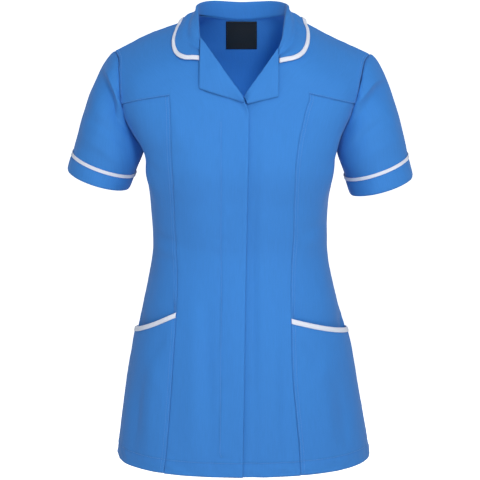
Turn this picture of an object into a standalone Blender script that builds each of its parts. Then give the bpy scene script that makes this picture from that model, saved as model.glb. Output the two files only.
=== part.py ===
"""A short-sleeved, hip-length tunic with a revers collar, filled out as if it were worn.

Lengths are in millimetres up to the point where a mesh is made, and that is in metres.
+X is the wearer's left, -Y the front and +Z up. The origin is the middle of the neck
opening, level with the neck ends of the two shoulder seams.
"""

import math
from collections import namedtuple

import bmesh
import bpy
from mathutils import Vector

# Driving dimensions
MM = 0.001
CLOTH = 1.3
TRIM = 0.9
SEAM_GAP = 0.3
RIGHT = -1
LEFT = 1
COLLECTION = "nurse_tunic"

# The body: how square its level sections are, and how the shoulders round into them
SQUARENESS = 2.3
SHOULDER_DROP = 92.0
SHOULDER_BEND = 0.74
NECK_BACK_DEPTH = 72.0
NECK_HALF_WIDTH = 70.0
BACK_NECK_DROP = 6.0
NECK_SPREAD = 1.1

# Half widths to the wearer's right and left, and depths in front of and behind the side seams
Section = namedtuple("Section", "height right left front back")
SECTIONS = (
    Section(-732, 206, 213, 151, 143),
    Section(-651, 197, 200, 147, 135),
    Section(-570, 184, 185, 140, 125),
    Section(-516, 172, 172, 132, 115),
    Section(-462, 160, 157, 121, 102),
    Section(-409, 149, 144, 111, 89),
    Section(-369, 145, 140, 108, 84),
    Section(-303, 150, 142, 122, 93),
    Section(-257, 156, 150, 133, 102),
    Section(-220, 159, 154, 134, 107),
    Section(-190, 181, 168, 130, 110),
    Section(-160, 202, 190, 125, 111),
    Section(-110, 218, 216, 114, 107),
    Section(-60, 228, 232, 99, 98),
    Section(20, 232, 236, 82, 86),
)

# Heights of the two shoulder seams, by their distance from the middle
Shoulder = namedtuple("Shoulder", "distance right left")
SHOULDERS = (
    Shoulder(0, -2, -2),
    Shoulder(70, -2, -1),
    Shoulder(100, -14, -12),
    Shoulder(125, -23, -25),
    Shoulder(150, -32, -38),
    Shoulder(172, -42, -48),
    Shoulder(205, -60, -63),
    Shoulder(212, -65, -67),
)

# The armhole seam, as shares of the body's half width, by the share of the way to the underarm
SHOULDER_TIP = {RIGHT: 205.0, LEFT: 209.0}
UNDERARM = {RIGHT: -220.0, LEFT: -218.0}
Armhole = namedtuple("Armhole", "share right left")
ARMHOLE = (
    Armhole(0.0, 0.899, 0.902),
    Armhole(0.1, 0.874, 0.870),
    Armhole(0.25, 0.884, 0.871),
    Armhole(0.45, 0.905, 0.888),
    Armhole(0.65, 0.935, 0.922),
    Armhole(0.82, 0.971, 0.966),
    Armhole(0.93, 0.9925, 0.992),
    Armhole(1.0, 1.0, 1.0),
)

# Passes that settle an armhole point, whose height and x depend on each other
ARMHOLE_PASSES = 4

# The free edges of the two fronts: neck, roll line, and the overlap down to the hem
Edge = namedtuple("Edge", "height right left")
FRONT_EDGES = (
    Edge(-732, 2, -25),
    Edge(-433, 7, -24),
    Edge(-155, 12, -22),
    Edge(-133, 2.5, 2),
    Edge(-60, -52.5, 56),
    Edge(-43, -65, 63),
    Edge(-2, -69.5, 69.5),
)
UNDERLAP_SINK = 2.4
UNDERLAP_FULL_AT = 17.0
UNDERLAP_ENDS_AT = 34.0

# The princess seams, which turn outward to the armholes under the shoulder yokes
PRINCESS_TOP_SHARE = 0.55
Princess = namedtuple("Princess", "height right left")
PRINCESS = (
    Princess(-732, -124, 94),
    Princess(-687, -119, 92),
    Princess(-636, -115, 87),
    Princess(-568, -110, 81),
    Princess(-480, -104, 79),
    Princess(-394, -102, 79),
    Princess(-285, -105, 82),
    Princess(-205, -107, 87),
    Princess(-151, -110, 99),
    Princess(-129, -112, 105),
    Princess(-2, -113, 106),
)

# Fullness that the princess seams give the chest
CHEST_EASE = 9.0
CHEST_EASE_X = 84.0
CHEST_EASE_HEIGHT = -246.0
CHEST_EASE_WIDTH = 48.0
CHEST_EASE_LENGTH = 62.0

# The hem is level at the sides and a little lower in front
HEM_SIDE = -727.0
HEM_FRONT = -731.0
HEM_BACK = -726.0

# Levels of the cloth's rows: shares from the shoulder to the underarm, then to the hem
UPPER_ROWS = (0.0, 0.04, 0.11, 0.188, 0.266, 0.36, 0.455, 0.55, 0.601, 0.702, 0.83, 0.94, 1.0)
LOWER_ROW_COUNT = 13
FRONT_COLUMNS = 6
YOKE_COLUMNS = 5
SIDE_COLUMNS = 6
BACK_NECK_COLUMNS = 5
BACK_SHOULDER_COLUMNS = 5
BACK_NECK_SHARE = 0.42
SHOULDER_SEAM_GAP = 0.9
PRINCESS_SEAM_GAP = 0.6
SIDE_SEAM_GAP = 0.6

# The sleeves and their cuffs; each ring is given by its outer and inner end in front view
Ring = namedtuple("Ring", "outer_x outer_z inner_x inner_z")
CUFF_SEAM = {RIGHT: Ring(276, -224, 175, -259), LEFT: Ring(272, -228, 170, -264)}
CUFF_HEM = {RIGHT: Ring(285, -251, 184, -282), LEFT: Ring(281, -261, 177, -291)}
SLEEVE_HALF_DEPTH = 60.0
SLEEVE_FRONT_DROP = 9.0
SLEEVE_RINGS = (0.0, 0.05, 0.11, 0.17, 0.24, 0.34, 0.48, 0.64, 0.82, 1.0)
SLEEVE_CAP_FULLNESS = 30.0
SLEEVE_FACE_FULLNESS = 27.0
SLEEVE_FULLNESS_POWER = 1.5
ARMHOLE_GAP = 1.3
CUFF_TAPE_HALF_WIDTH = 2.75
CUFF_TAPE_LIFT = 1.0

# The soft drape fold that runs beside the armhole, from the cap to the underarm
DRAPE_AT = 0.17
DRAPE_WIDTH = 0.075
DRAPE_DEPTH = {"front": 11.0, "back": 8.0}

# The collar: its end at the revers, then lines across it, round the neck to the centre back
CollarEnd = namedtuple("CollarEnd", "seam_x seam_height edge_x edge_height stand")
COLLAR_END = {RIGHT: CollarEnd(65.7, -43, 66.0, -75, 3.4), LEFT: CollarEnd(58.3, -58, 59.0, -79, 3.4)}
CollarFront = namedtuple("CollarFront", "seam_share right_x right_drop left_x left_drop stand")
COLLAR_FRONT = (
    CollarFront(0.12, 76, 71, 72, 75, 4.2),
    CollarFront(0.28, 89, 65, 84, 69, 5.4),
    CollarFront(0.45, 101, 54, 95, 58, 6.9),
    CollarFront(0.62, 108, 40, 103, 43, 8.8),
    CollarFront(0.8, 108, 23, 107, 24, 11.4),
    CollarFront(0.92, 103, 9, 105, 10, 14.0),
    CollarFront(1.0, 97, 0, 101, 0, 16.2),
)
CollarBack = namedtuple("CollarBack", "seam_x edge_x edge_drop stand")
COLLAR_BACK = (
    CollarBack(68.5, 93, 12, 18.4),
    CollarBack(64, 87, 20, 21.4),
    CollarBack(56, 75, 25, 24.8),
    CollarBack(43, 57, 28, 27.8),
    CollarBack(24, 32, 30, 29.6),
    CollarBack(0, 0, 31, 30.2),
)
# How far the stand leans out at the shoulders, for each unit of its height
COLLAR_LEAN = {RIGHT: 0.0, LEFT: 0.25}
COLLAR_FOOT_LIFT = 1.1
COLLAR_ROLL_RADIUS = 1.8
COLLAR_ROLL_TURNS = (0, 50, 100, 150)
COLLAR_FALL_SHARES = (0.18, 0.36, 0.55, 0.76, 1.0)
COLLAR_EDGE_LIFT = 3.7
COLLAR_HUG = 1.8
BINDING_WIDTH = 6.8
BINDING_LIP = 0.8
BINDING_GAP = 0.8

# The revers: a four-cornered facing turned back along the roll line
Revers = namedtuple("Revers", "roll_top roll_foot point_out point_in")
REVERS = {
    RIGHT: Revers((-64.2, -43), (3.2, -133), (-66, -119), (3.6, -141)),
    LEFT: Revers((57.2, -58), (5.0, -130), (57.5, -131), (12.2, -141)),
}
REVERS_ROWS = 6
REVERS_COLUMNS = 7
REVERS_ROLL_LIFT = 2.0
REVERS_EDGE_LIFT = 2.6
REVERS_ROUND = 2.2

# The pockets: patches from the princess seam to the side seam, down to the hem
POCKET_MOUTH_IN = {RIGHT: -474.0, LEFT: -482.0}
POCKET_MOUTH_OUT = -512.0
POCKET_MOUTH_CURVE = 1.7
POCKET_LIFT = 1.9
POCKET_GAPE = 3.2
POCKET_GAPE_LENGTH = 55.0
POCKET_GAPE_AT = 0.86
POCKET_FOOT_GAP = 1.0
POCKET_ROWS = 6
POCKET_BINDING_WIDTH = 7.5

# The plain label inside the back of the neck
LABEL_HALF_WIDTH = 26.0
LABEL_TOP = -10.0
LABEL_FOOT = -55.0
LABEL_THICKNESS = 0.6
LABEL_GAP = 1.8
LABEL_CELLS = 4

BLUE = (0.05, 0.24, 0.60, 1.0)
WHITE = (0.80, 0.80, 0.86, 1.0)
BLACK = (0.01, 0.01, 0.012, 1.0)


def mix(a, b, share):
    return a + (b - a) * share


def smooth_step(share):
    share = min(max(share, 0.0), 1.0)
    return share * share * (3.0 - 2.0 * share)


def read_straight(table, name, place):
    """Read one column of a table along straight lines between its rows."""
    if place <= table[0][0]:
        return getattr(table[0], name)
    for low, high in zip(table, table[1:]):
        if place <= high[0]:
            share = (place - low[0]) / (high[0] - low[0])
            return mix(getattr(low, name), getattr(high, name), share)
    return getattr(table[-1], name)


def read_smooth(table, name, place):
    """Read one column of a table along a smooth curve through its rows."""
    places = [row[0] for row in table]
    values = [getattr(row, name) for row in table]
    if place <= places[0]:
        return values[0]
    if place >= places[-1]:
        return values[-1]
    low = max(k for k in range(len(places) - 1) if places[k] <= place)
    width = places[low + 1] - places[low]
    slopes = []
    for k in (low, low + 1):
        before = max(k - 1, 0)
        after = min(k + 1, len(places) - 1)
        slopes.append((values[after] - values[before]) / (places[after] - places[before]))
    t = (place - places[low]) / width
    rise = values[low + 1] - values[low]
    start = slopes[0] * width
    finish = slopes[1] * width
    return values[low] + t * (start + t * (3 * rise - 2 * start - finish + t * (start + finish - 2 * rise)))


def side_name(side):
    return "left" if side > 0 else "right"


def half_width(side, height):
    return read_smooth(SECTIONS, side_name(side), height)


def shoulder_height(x):
    return read_smooth(SHOULDERS, side_name(x), abs(x))


def neck_height(x):
    """The height of the back's top edge: the neck seam, and the shoulder seam beyond it."""
    if abs(x) >= NECK_HALF_WIDTH:
        return shoulder_height(x)
    return shoulder_height(x) - BACK_NECK_DROP * (1.0 - (x / NECK_HALF_WIDTH) ** 2)


def chest_ease(x, height):
    across = (abs(x) - CHEST_EASE_X) / CHEST_EASE_WIDTH
    along = (height - CHEST_EASE_HEIGHT) / CHEST_EASE_LENGTH
    return CHEST_EASE * math.exp(-across * across - along * along)


def body_point(angle, height):
    """A point of the body's outer face: angle 0 is the centre front, 90 degrees the left side."""
    sine = math.sin(angle)
    cosine = math.cos(angle)
    side = LEFT if sine >= 0 else RIGHT
    x = side * half_width(side, height) * abs(sine) ** (2 / SQUARENESS)
    in_front = cosine > 0
    depth = read_smooth(SECTIONS, "front" if in_front else "back", height)
    y = depth * abs(cosine) ** (2 / SQUARENESS)
    top = shoulder_height(x) if in_front else neck_height(x)
    drop = max(top - height, 0.0)
    near = min(drop / SHOULDER_DROP, 1.0)
    fall = (near * (2.0 - near)) ** SHOULDER_BEND
    if in_front:
        return Vector((x, -y * fall - chest_ease(x, height), height))
    reach = NECK_HALF_WIDTH + NECK_SPREAD * drop
    neck = NECK_BACK_DEPTH * math.sqrt(max(0.0, 1.0 - (x / reach) ** 2))
    return Vector((x, mix(neck, y, fall), height))


def angle_at(x, height, behind=False):
    """The angle at which the section at this height has this x."""
    side = LEFT if x >= 0 else RIGHT
    share = min(abs(x) / half_width(side, height), 1.0)
    angle = math.asin(share ** (SQUARENESS / 2))
    return side * (math.pi - angle if behind else angle)


def body_normal(angle, height):
    """The outward normal of the body's outer face."""
    turn = 0.01
    step = 1.0
    across = body_point(angle + turn, height - step) - body_point(angle - turn, height - step)
    upward = body_point(angle, height) - body_point(angle, height - 2 * step)
    return across.cross(upward).normalized()


def lifted(angle, height, lift):
    return body_point(angle, height) + body_normal(angle, height) * lift


def princess_x(side, height):
    return read_smooth(PRINCESS, side_name(side), height)


def upper_point(side, x, share, behind=False):
    """A point above the underarm: rows follow the shoulder at the top and are level at the foot."""
    top = neck_height(x) if behind else shoulder_height(x)
    height = mix(top, UNDERARM[side], share)
    return body_point(angle_at(x, height, behind), height)


def armhole_x(side, share):
    """The x of the armhole seam, a share of the way down from the shoulder tip."""
    x = side * SHOULDER_TIP[side]
    for _ in range(ARMHOLE_PASSES):
        height = mix(shoulder_height(x), UNDERARM[side], share)
        x = side * half_width(side, height) * read_smooth(ARMHOLE, side_name(side), share)
    return x


def lower_level(side, share):
    return mix(UNDERARM[side], HEM_SIDE, share)


def lower_point(side, angle, share):
    """A point below the underarm: rows are level at the sides and follow the hem at the foot."""
    behind = math.cos(angle) < 0
    x = body_point(angle, lower_level(side, share)).x
    hem = mix(HEM_SIDE, HEM_BACK if behind else HEM_FRONT, math.cos(angle) ** 2)
    height = mix(UNDERARM[side], hem, share)
    return body_point(angle_at(x, height, behind), height)


def lower_shares():
    return [(k + 1) / LOWER_ROW_COUNT for k in range(LOWER_ROW_COUNT)]


def spread(first, last, count):
    return [mix(first, last, k / count) for k in range(count + 1)]


def draw_back(grid, border, distance):
    """Move one border of a grid inward along the cloth, to leave the seam's gap."""
    if border == "top":
        pairs = list(zip(grid[0], grid[1]))
    elif border == "first":
        pairs = [(row[0], row[1]) for row in grid]
    else:
        pairs = [(row[-1], row[-2]) for row in grid]
    for point, inner in pairs:
        point += (inner - point).normalized() * distance


def make_material(name, colour, roughness):
    material = bpy.data.materials.new(name)
    material.use_nodes = True
    shader = material.node_tree.nodes["Principled BSDF"]
    shader.inputs["Base Color"].default_value = colour
    shader.inputs["Roughness"].default_value = roughness
    shader.inputs["Metallic"].default_value = 0.0
    return material


def add_cloth(name, grid, material, flip=False, ring=False, thickness=CLOTH):
    """Make a wall of cloth behind a grid of points on its outer face; None leaves a point out."""
    mesh = bmesh.new()
    verts = [[point and mesh.verts.new(point * MM) for point in row] for row in grid]
    columns = len(grid[0])
    for upper, lower in zip(verts, verts[1:]):
        for column in range(columns if ring else columns - 1):
            after = (column + 1) % columns
            corners = [upper[column], lower[column], lower[after], upper[after]]
            if None not in corners:
                mesh.faces.new(corners[::-1] if flip else corners)
    data = bpy.data.meshes.new(name)
    mesh.to_mesh(data)
    mesh.free()
    data.shade_smooth()
    data.materials.append(material)
    piece = bpy.data.objects.new(name, data)
    wall = piece.modifiers.new("Wall", "SOLIDIFY")
    wall.thickness = thickness * MM
    wall.offset = -1.0
    bpy.data.collections[COLLECTION].objects.link(piece)


def underlap(side, point):
    """The left front passes under the right one, so its edge lies deeper."""
    if side == LEFT:
        share = (UNDERLAP_ENDS_AT - point.x) / (UNDERLAP_ENDS_AT - UNDERLAP_FULL_AT)
        point.y += UNDERLAP_SINK * smooth_step(share)
    return point


def add_front(side, material):
    """A front, from the neck, roll line and overlap to the princess seam, with its shoulder yoke."""
    name = side_name(side)
    no_yoke = [None] * YOKE_COLUMNS
    grid = []
    for share in UPPER_ROWS:
        edge_x = read_straight(FRONT_EDGES, name, mix(shoulder_height(0), UNDERARM[side], share))
        seam_x = princess_x(side, mix(shoulder_height(side * CHEST_EASE_X), UNDERARM[side], share))
        xs = spread(edge_x, seam_x, FRONT_COLUMNS)
        if share <= PRINCESS_TOP_SHARE:
            xs += spread(seam_x, armhole_x(side, share), YOKE_COLUMNS)[1:]
        row = [underlap(side, upper_point(side, x, share)) for x in xs]
        grid.append(row if share <= PRINCESS_TOP_SHARE else row + no_yoke)
    for share in lower_shares():
        level = lower_level(side, share)
        xs = spread(read_straight(FRONT_EDGES, name, level), princess_x(side, level), FRONT_COLUMNS)
        row = [underlap(side, lower_point(side, angle_at(x, level), share)) for x in xs]
        grid.append(row + no_yoke)
    draw_back(grid, "top", SHOULDER_SEAM_GAP)
    add_cloth(name + "_front", grid, material, flip=side < 0)


def add_side_front(side, material):
    """The panel between the princess seam and the side seam, up to the shoulder yoke."""
    grid = []
    for share in [share for share in UPPER_ROWS if share >= PRINCESS_TOP_SHARE]:
        seam_x = princess_x(side, mix(shoulder_height(side * CHEST_EASE_X), UNDERARM[side], share))
        outer_x = armhole_x(side, share)
        heights = [mix(shoulder_height(x), UNDERARM[side], share) for x in (seam_x, outer_x)]
        angles = spread(angle_at(seam_x, heights[0]), angle_at(outer_x, heights[1]), SIDE_COLUMNS)
        levels = spread(heights[0], heights[1], SIDE_COLUMNS)
        xs = [body_point(angle, level).x for angle, level in zip(angles, levels)]
        grid.append([upper_point(side, x, share) for x in xs])
    for share in lower_shares():
        level = lower_level(side, share)
        angles = spread(angle_at(princess_x(side, level), level), side * math.pi / 2, SIDE_COLUMNS)
        grid.append([lower_point(side, angle, share) for angle in angles])
    draw_back(grid, "top", PRINCESS_SEAM_GAP)
    draw_back(grid, "first", PRINCESS_SEAM_GAP)
    add_cloth(side_name(side) + "_side_front", grid, material, flip=side < 0)


def back_columns(side):
    """The back's columns from its middle out: shares of the shoulder's x, and angles lower down."""
    neck = [math.sin(turn) for turn in spread(0, math.pi / 2, BACK_NECK_COLUMNS)]
    neck_share = NECK_HALF_WIDTH / SHOULDER_TIP[side]
    shares = [share * neck_share for share in neck]
    shares += spread(neck_share, 1.0, BACK_SHOULDER_COLUMNS)[1:]
    neck_turn = BACK_NECK_SHARE * math.pi / 2
    angles = spread(0, neck_turn, BACK_NECK_COLUMNS)
    angles += spread(neck_turn, math.pi / 2, BACK_SHOULDER_COLUMNS)[1:]
    return list(zip(shares, angles))


def back_half(side):
    """Half of the back, each row from its middle out to the armhole or the side seam."""
    rows = []
    for share in UPPER_ROWS:
        outer_x = armhole_x(side, share)
        xs = []
        for top_share, turn in back_columns(side):
            even_share = math.sin(turn) ** (2 / SQUARENESS)
            xs.append(outer_x * mix(top_share, even_share, share))
        rows.append([upper_point(side, x, share, behind=True) for x in xs])
    for share in lower_shares():
        angles = [side * (math.pi - turn) for _, turn in back_columns(side)]
        rows.append([lower_point(side, angle, share) for angle in angles])
    return rows


def add_back(material):
    """The back in one piece, from side seam to side seam."""
    grid = [left[::-1] + right[1:] for left, right in zip(back_half(LEFT), back_half(RIGHT))]
    for row in grid:
        row.reverse()
    draw_back(grid, "top", SHOULDER_SEAM_GAP)
    draw_back(grid, "first", SIDE_SEAM_GAP)
    draw_back(grid, "last", SIDE_SEAM_GAP)
    add_cloth("back", grid, material, flip=True)


def sleeve_turns():
    """Turns round a sleeve that meet the armhole at the ends of the body's rows."""
    front = [math.acos(1 - 2 * share) for share in UPPER_ROWS]
    return front + [2 * math.pi - turn for turn in front[-2:0:-1]]


def armhole_point(side, turn):
    """A point of the armhole seam: turn 0 is the shoulder tip, a quarter turn is in front."""
    share = (1 - math.cos(turn)) / 2
    return upper_point(side, armhole_x(side, share), share, behind=math.sin(turn) < 0)


def ring_point(side, ring, turn):
    """A point of a cuff's ring, with the same turns as the armhole."""
    outer = Vector((side * ring.outer_x, 0, ring.outer_z))
    inner = Vector((side * ring.inner_x, 0, ring.inner_z))
    face = Vector((0, -SLEEVE_HALF_DEPTH, -SLEEVE_FRONT_DROP))
    return (outer + inner) / 2 + (outer - inner) / 2 * math.cos(turn) + face * math.sin(turn)


def ring_outward(side, ring, turn):
    across = Vector((side * (ring.outer_x - ring.inner_x), 0, ring.outer_z - ring.inner_z))
    return across.normalized() * math.cos(turn) + Vector((0, -1, 0)) * math.sin(turn)


def sleeve_point(side, share, turn):
    """A point of the sleeve, a share of the way from the armhole to the cuff seam."""
    seam = CUFF_SEAM[side]
    point = mix(armhole_point(side, turn), ring_point(side, seam, turn), share)
    above = max(math.cos(turn), 0.0) ** SLEEVE_FULLNESS_POWER
    facing = abs(math.sin(turn)) ** SLEEVE_FULLNESS_POWER
    full = SLEEVE_CAP_FULLNESS * above + SLEEVE_FACE_FULLNESS * facing * (1 - above)
    rise = full * math.sqrt(share) * (1 - share)
    depth = DRAPE_DEPTH["front" if math.sin(turn) > 0 else "back"]
    drape = depth * math.sin(turn) ** 2 * math.exp(-((share - DRAPE_AT) / DRAPE_WIDTH) ** 2)
    return point + ring_outward(side, seam, turn) * (rise - drape)


def add_sleeve(side, material):
    grid = [[sleeve_point(side, share, turn) for turn in sleeve_turns()] for share in SLEEVE_RINGS]
    draw_back(grid, "top", ARMHOLE_GAP)
    add_cloth(side_name(side) + "_sleeve", grid, material, flip=side > 0, ring=True)


def add_cuff(side, material):
    """The turned-up band below the tape."""
    seam = [ring_point(side, CUFF_SEAM[side], turn) for turn in sleeve_turns()]
    hem = [ring_point(side, CUFF_HEM[side], turn) for turn in sleeve_turns()]
    middle = [(a + b) / 2 for a, b in zip(seam, hem)]
    grid = [seam, middle, hem]
    draw_back(grid, "top", SEAM_GAP)
    add_cloth(side_name(side) + "_cuff", grid, material, flip=side > 0, ring=True)


def add_cuff_tape(side, material):
    """The white tape over the seam between the sleeve and its cuff."""
    seam = CUFF_SEAM[side]
    down = (ring_point(side, CUFF_HEM[side], 0) - ring_point(side, seam, 0)).normalized()
    grid = []
    for place in (-CUFF_TAPE_HALF_WIDTH, 0, CUFF_TAPE_HALF_WIDTH):
        row = []
        for turn in sleeve_turns():
            out = ring_outward(side, seam, turn) * (CUFF_TAPE_LIFT + TRIM)
            row.append(ring_point(side, seam, turn) + down * place + out)
        grid.append(row)
    add_cloth(side_name(side) + "_cuff_tape", grid, material, flip=side > 0, ring=True, thickness=TRIM)


def collar_line(side, behind, seam, edge, stand, upright):
    """One line across the collar: up the stand, over the roll and down the fall.

    seam and edge are (x, height) on the body; upright is 1 where the stand doesn't lie on the body.
    """
    base = []
    for share in (0.0,) + COLLAR_FALL_SHARES:
        x = mix(seam[0], edge[0], share)
        top = neck_height if behind else shoulder_height
        drop = mix(top(seam[0]) - seam[1], top(edge[0]) - edge[1], share)
        height = top(x) - drop
        angle = angle_at(x, height, behind)
        base.append((body_point(angle, height), body_normal(angle, height), share))
    foot, normal, _ = base[0]
    lean = COLLAR_LEAN[side] * seam[0] / NECK_HALF_WIDTH
    rise = mix(normal, Vector((lean, 0, 1)), upright).normalized()
    out = base[1][0] - foot
    out = (out - rise * out.dot(rise)).normalized()
    points = [foot + rise * COLLAR_FOOT_LIFT]
    middle = foot + out * COLLAR_ROLL_RADIUS + rise * (stand - COLLAR_ROLL_RADIUS)
    for degrees in COLLAR_ROLL_TURNS:
        turn = math.radians(degrees)
        points.append(middle + (rise * math.sin(turn) - out * math.cos(turn)) * COLLAR_ROLL_RADIUS)
    for point, normal, share in base[1:]:
        lift = COLLAR_EDGE_LIFT + (stand - COLLAR_EDGE_LIFT) * (1 - share) ** COLLAR_HUG
        points.append(point + mix(rise, normal, share).normalized() * lift)
    return points


def collar_half(side):
    """The collar's lines on one side, from its end at the revers to the centre back."""
    end = COLLAR_END[side]
    seam = (side * end.seam_x, end.seam_height)
    lines = [collar_line(side, False, seam, (side * end.edge_x, end.edge_height), end.stand, 0.0)]
    for row in COLLAR_FRONT:
        height = mix(end.seam_height, shoulder_height(0), row.seam_share)
        seam = (read_straight(FRONT_EDGES, side_name(side), height), height)
        x = side * (row.left_x if side > 0 else row.right_x)
        edge = (x, shoulder_height(x) - (row.left_drop if side > 0 else row.right_drop))
        lines.append(collar_line(side, False, seam, edge, row.stand, row.seam_share))
    for row in COLLAR_BACK:
        seam = (side * row.seam_x, neck_height(row.seam_x))
        x = side * row.edge_x
        lines.append(collar_line(side, True, seam, (x, neck_height(x) - row.edge_drop), row.stand, 1.0))
    return lines


def collar_lines():
    return collar_half(RIGHT) + collar_half(LEFT)[-2::-1]


def add_collar(material):
    grid = [list(row) for row in zip(*collar_lines())]
    add_cloth("collar", grid, material, flip=True)


def add_collar_binding(material):
    """The white binding along the collar's outer edge, laid on the fall."""
    lines = collar_lines()
    edges = [line[-1] for line in lines]
    grid = [[], [], []]
    for place, line in enumerate(lines):
        down = (line[-1] - line[-2]).normalized()
        along = edges[min(place + 1, len(edges) - 1)] - edges[max(place - 1, 0)]
        out = along.cross(down).normalized() * (BINDING_GAP + TRIM)
        for row, distance in zip(grid, (-BINDING_WIDTH, -BINDING_WIDTH / 2, BINDING_LIP)):
            row.append(line[-1] + down * distance + out)
    add_cloth("collar_binding", grid, material, flip=True, thickness=TRIM)


def add_revers(side, material):
    """A revers: the front's facing, turned back along the roll line."""
    corners = [Vector((x, height)) for x, height in REVERS[side]]
    grid = []
    for down in spread(0.0, 1.0, REVERS_ROWS):
        row = []
        for along in spread(0.0, 1.0, REVERS_COLUMNS):
            place = mix(mix(corners[0], corners[1], along), mix(corners[2], corners[3], along), down)
            lift = mix(REVERS_ROLL_LIFT, REVERS_EDGE_LIFT, down) + REVERS_ROUND * math.sin(math.pi * down)
            row.append(lifted(angle_at(place[0], place[1]), place[1], lift))
        grid.append(row)
    add_cloth(side_name(side) + "_revers", grid, material, flip=side > 0)


def pocket_point(side, share, below, lift):
    """A point over a pocket, a share of the way from the princess seam to the side seam."""
    mouth = mix(POCKET_MOUTH_OUT, POCKET_MOUTH_IN[side], (1 - share) ** POCKET_MOUTH_CURVE)
    height = mouth - below
    angle = mix(angle_at(princess_x(side, height), height), side * math.pi / 2, share)
    if share < POCKET_GAPE_AT:
        gape = smooth_step(share / POCKET_GAPE_AT)
    else:
        gape = smooth_step((1 - share) / (1 - POCKET_GAPE_AT))
    gape *= POCKET_GAPE * math.exp(-(below / POCKET_GAPE_LENGTH) ** 2)
    return lifted(angle, height, lift + gape)


def pocket_length(side, share):
    """How far a pocket reaches below its mouth, to just above the hem."""
    mouth = mix(POCKET_MOUTH_OUT, POCKET_MOUTH_IN[side], (1 - share) ** POCKET_MOUTH_CURVE)
    inner = angle_at(princess_x(side, HEM_SIDE), HEM_SIDE)
    hem = mix(HEM_SIDE, HEM_FRONT, math.cos(mix(inner, side * math.pi / 2, share)) ** 2)
    return mouth - hem - POCKET_FOOT_GAP


def add_pocket(side, material):
    grid = []
    for down in spread(0.0, 1.0, POCKET_ROWS):
        shares = spread(0.0, 1.0, SIDE_COLUMNS)
        row = [pocket_point(side, share, pocket_length(side, share) * down, POCKET_LIFT) for share in shares]
        grid.append(row)
    draw_back(grid, "first", SEAM_GAP)
    draw_back(grid, "last", SEAM_GAP)
    add_cloth(side_name(side) + "_pocket", grid, material, flip=side < 0)


def add_pocket_binding(side, material):
    """The white binding along a pocket's mouth."""
    lift = POCKET_LIFT + SEAM_GAP + TRIM
    grid = []
    for below in (-BINDING_LIP, POCKET_BINDING_WIDTH / 2, POCKET_BINDING_WIDTH):
        shares = spread(0.0, 1.0, 2 * SIDE_COLUMNS)
        grid.append([pocket_point(side, share, below, lift) for share in shares])
    draw_back(grid, "first", SEAM_GAP)
    draw_back(grid, "last", SEAM_GAP)
    add_cloth(side_name(side) + "_pocket_binding", grid, material, flip=side < 0, thickness=TRIM)


def add_neck_label(material):
    """The plain label sewn inside the back, under the neck seam."""
    sink = CLOTH + LABEL_GAP + LABEL_THICKNESS
    grid = []
    for height in spread(LABEL_TOP, LABEL_FOOT, LABEL_CELLS):
        xs = spread(-LABEL_HALF_WIDTH, LABEL_HALF_WIDTH, LABEL_CELLS)
        grid.append([lifted(angle_at(x, height, behind=True), height, -sink) for x in xs])
    add_cloth("neck_label", grid, material, thickness=LABEL_THICKNESS)


def main():
    for old in list(bpy.data.objects):
        bpy.data.objects.remove(old)
    bpy.context.scene.collection.children.link(bpy.data.collections.new(COLLECTION))
    cloth = make_material("blue_cloth", BLUE, 0.85)
    trim = make_material("white_trim", WHITE, 0.8)
    label = make_material("black_label", BLACK, 0.6)
    add_back(cloth)
    add_collar(cloth)
    add_collar_binding(trim)
    add_neck_label(label)
    for side in (RIGHT, LEFT):
        add_front(side, cloth)
        add_side_front(side, cloth)
        add_revers(side, cloth)
        add_sleeve(side, cloth)
        add_cuff(side, cloth)
        add_cuff_tape(side, trim)
        add_pocket(side, cloth)
        add_pocket_binding(side, trim)


main()
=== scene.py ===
"""The looks of a short-sleeved work tunic, laid over its solids as a dressmaker would finish it.

Lengths in the tables are in millimetres and become metres where a mesh is made. +X is the
wearer's left, -Y the front and +Z up. The origin is the middle of the neck opening.
"""

import math
from collections import namedtuple

import bpy
import numpy as np
from bpy.props import FloatProperty, FloatVectorProperty, PointerProperty
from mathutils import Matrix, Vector


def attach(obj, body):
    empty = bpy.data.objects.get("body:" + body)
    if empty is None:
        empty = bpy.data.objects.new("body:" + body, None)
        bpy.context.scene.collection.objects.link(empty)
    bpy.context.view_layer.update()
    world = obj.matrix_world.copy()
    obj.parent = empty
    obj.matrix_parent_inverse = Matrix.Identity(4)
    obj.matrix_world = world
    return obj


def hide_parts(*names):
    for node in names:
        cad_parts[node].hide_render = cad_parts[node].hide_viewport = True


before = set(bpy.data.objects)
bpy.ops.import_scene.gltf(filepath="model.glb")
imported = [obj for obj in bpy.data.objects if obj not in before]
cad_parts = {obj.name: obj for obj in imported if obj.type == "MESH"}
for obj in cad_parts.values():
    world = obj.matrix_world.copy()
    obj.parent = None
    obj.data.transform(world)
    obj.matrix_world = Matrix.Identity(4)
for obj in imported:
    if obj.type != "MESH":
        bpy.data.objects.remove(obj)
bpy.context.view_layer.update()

bl_info = {
    "name": "Work tunic",
    "version": (1, 0, 0),
    "blender": (4, 5, 0),
    "location": "View3D > Sidebar > Tunic",
    "description": "Builds the cloth, trims, stitching and studio of a work tunic",
    "category": "Add Mesh",
}

BODY = "root"
MM = 0.001
RIGHT = -1
LEFT = 1
SIDES = (RIGHT, LEFT)

# The body: how square its level sections are, and how the shoulders round into them
SQUARENESS = 2.3
SHOULDER_DROP = 92.0
SHOULDER_BEND = 0.74
NECK_BACK_DEPTH = 72.0
NECK_HALF_WIDTH = 70.0
BACK_NECK_DROP = 6.0
NECK_SPREAD = 1.1

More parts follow.
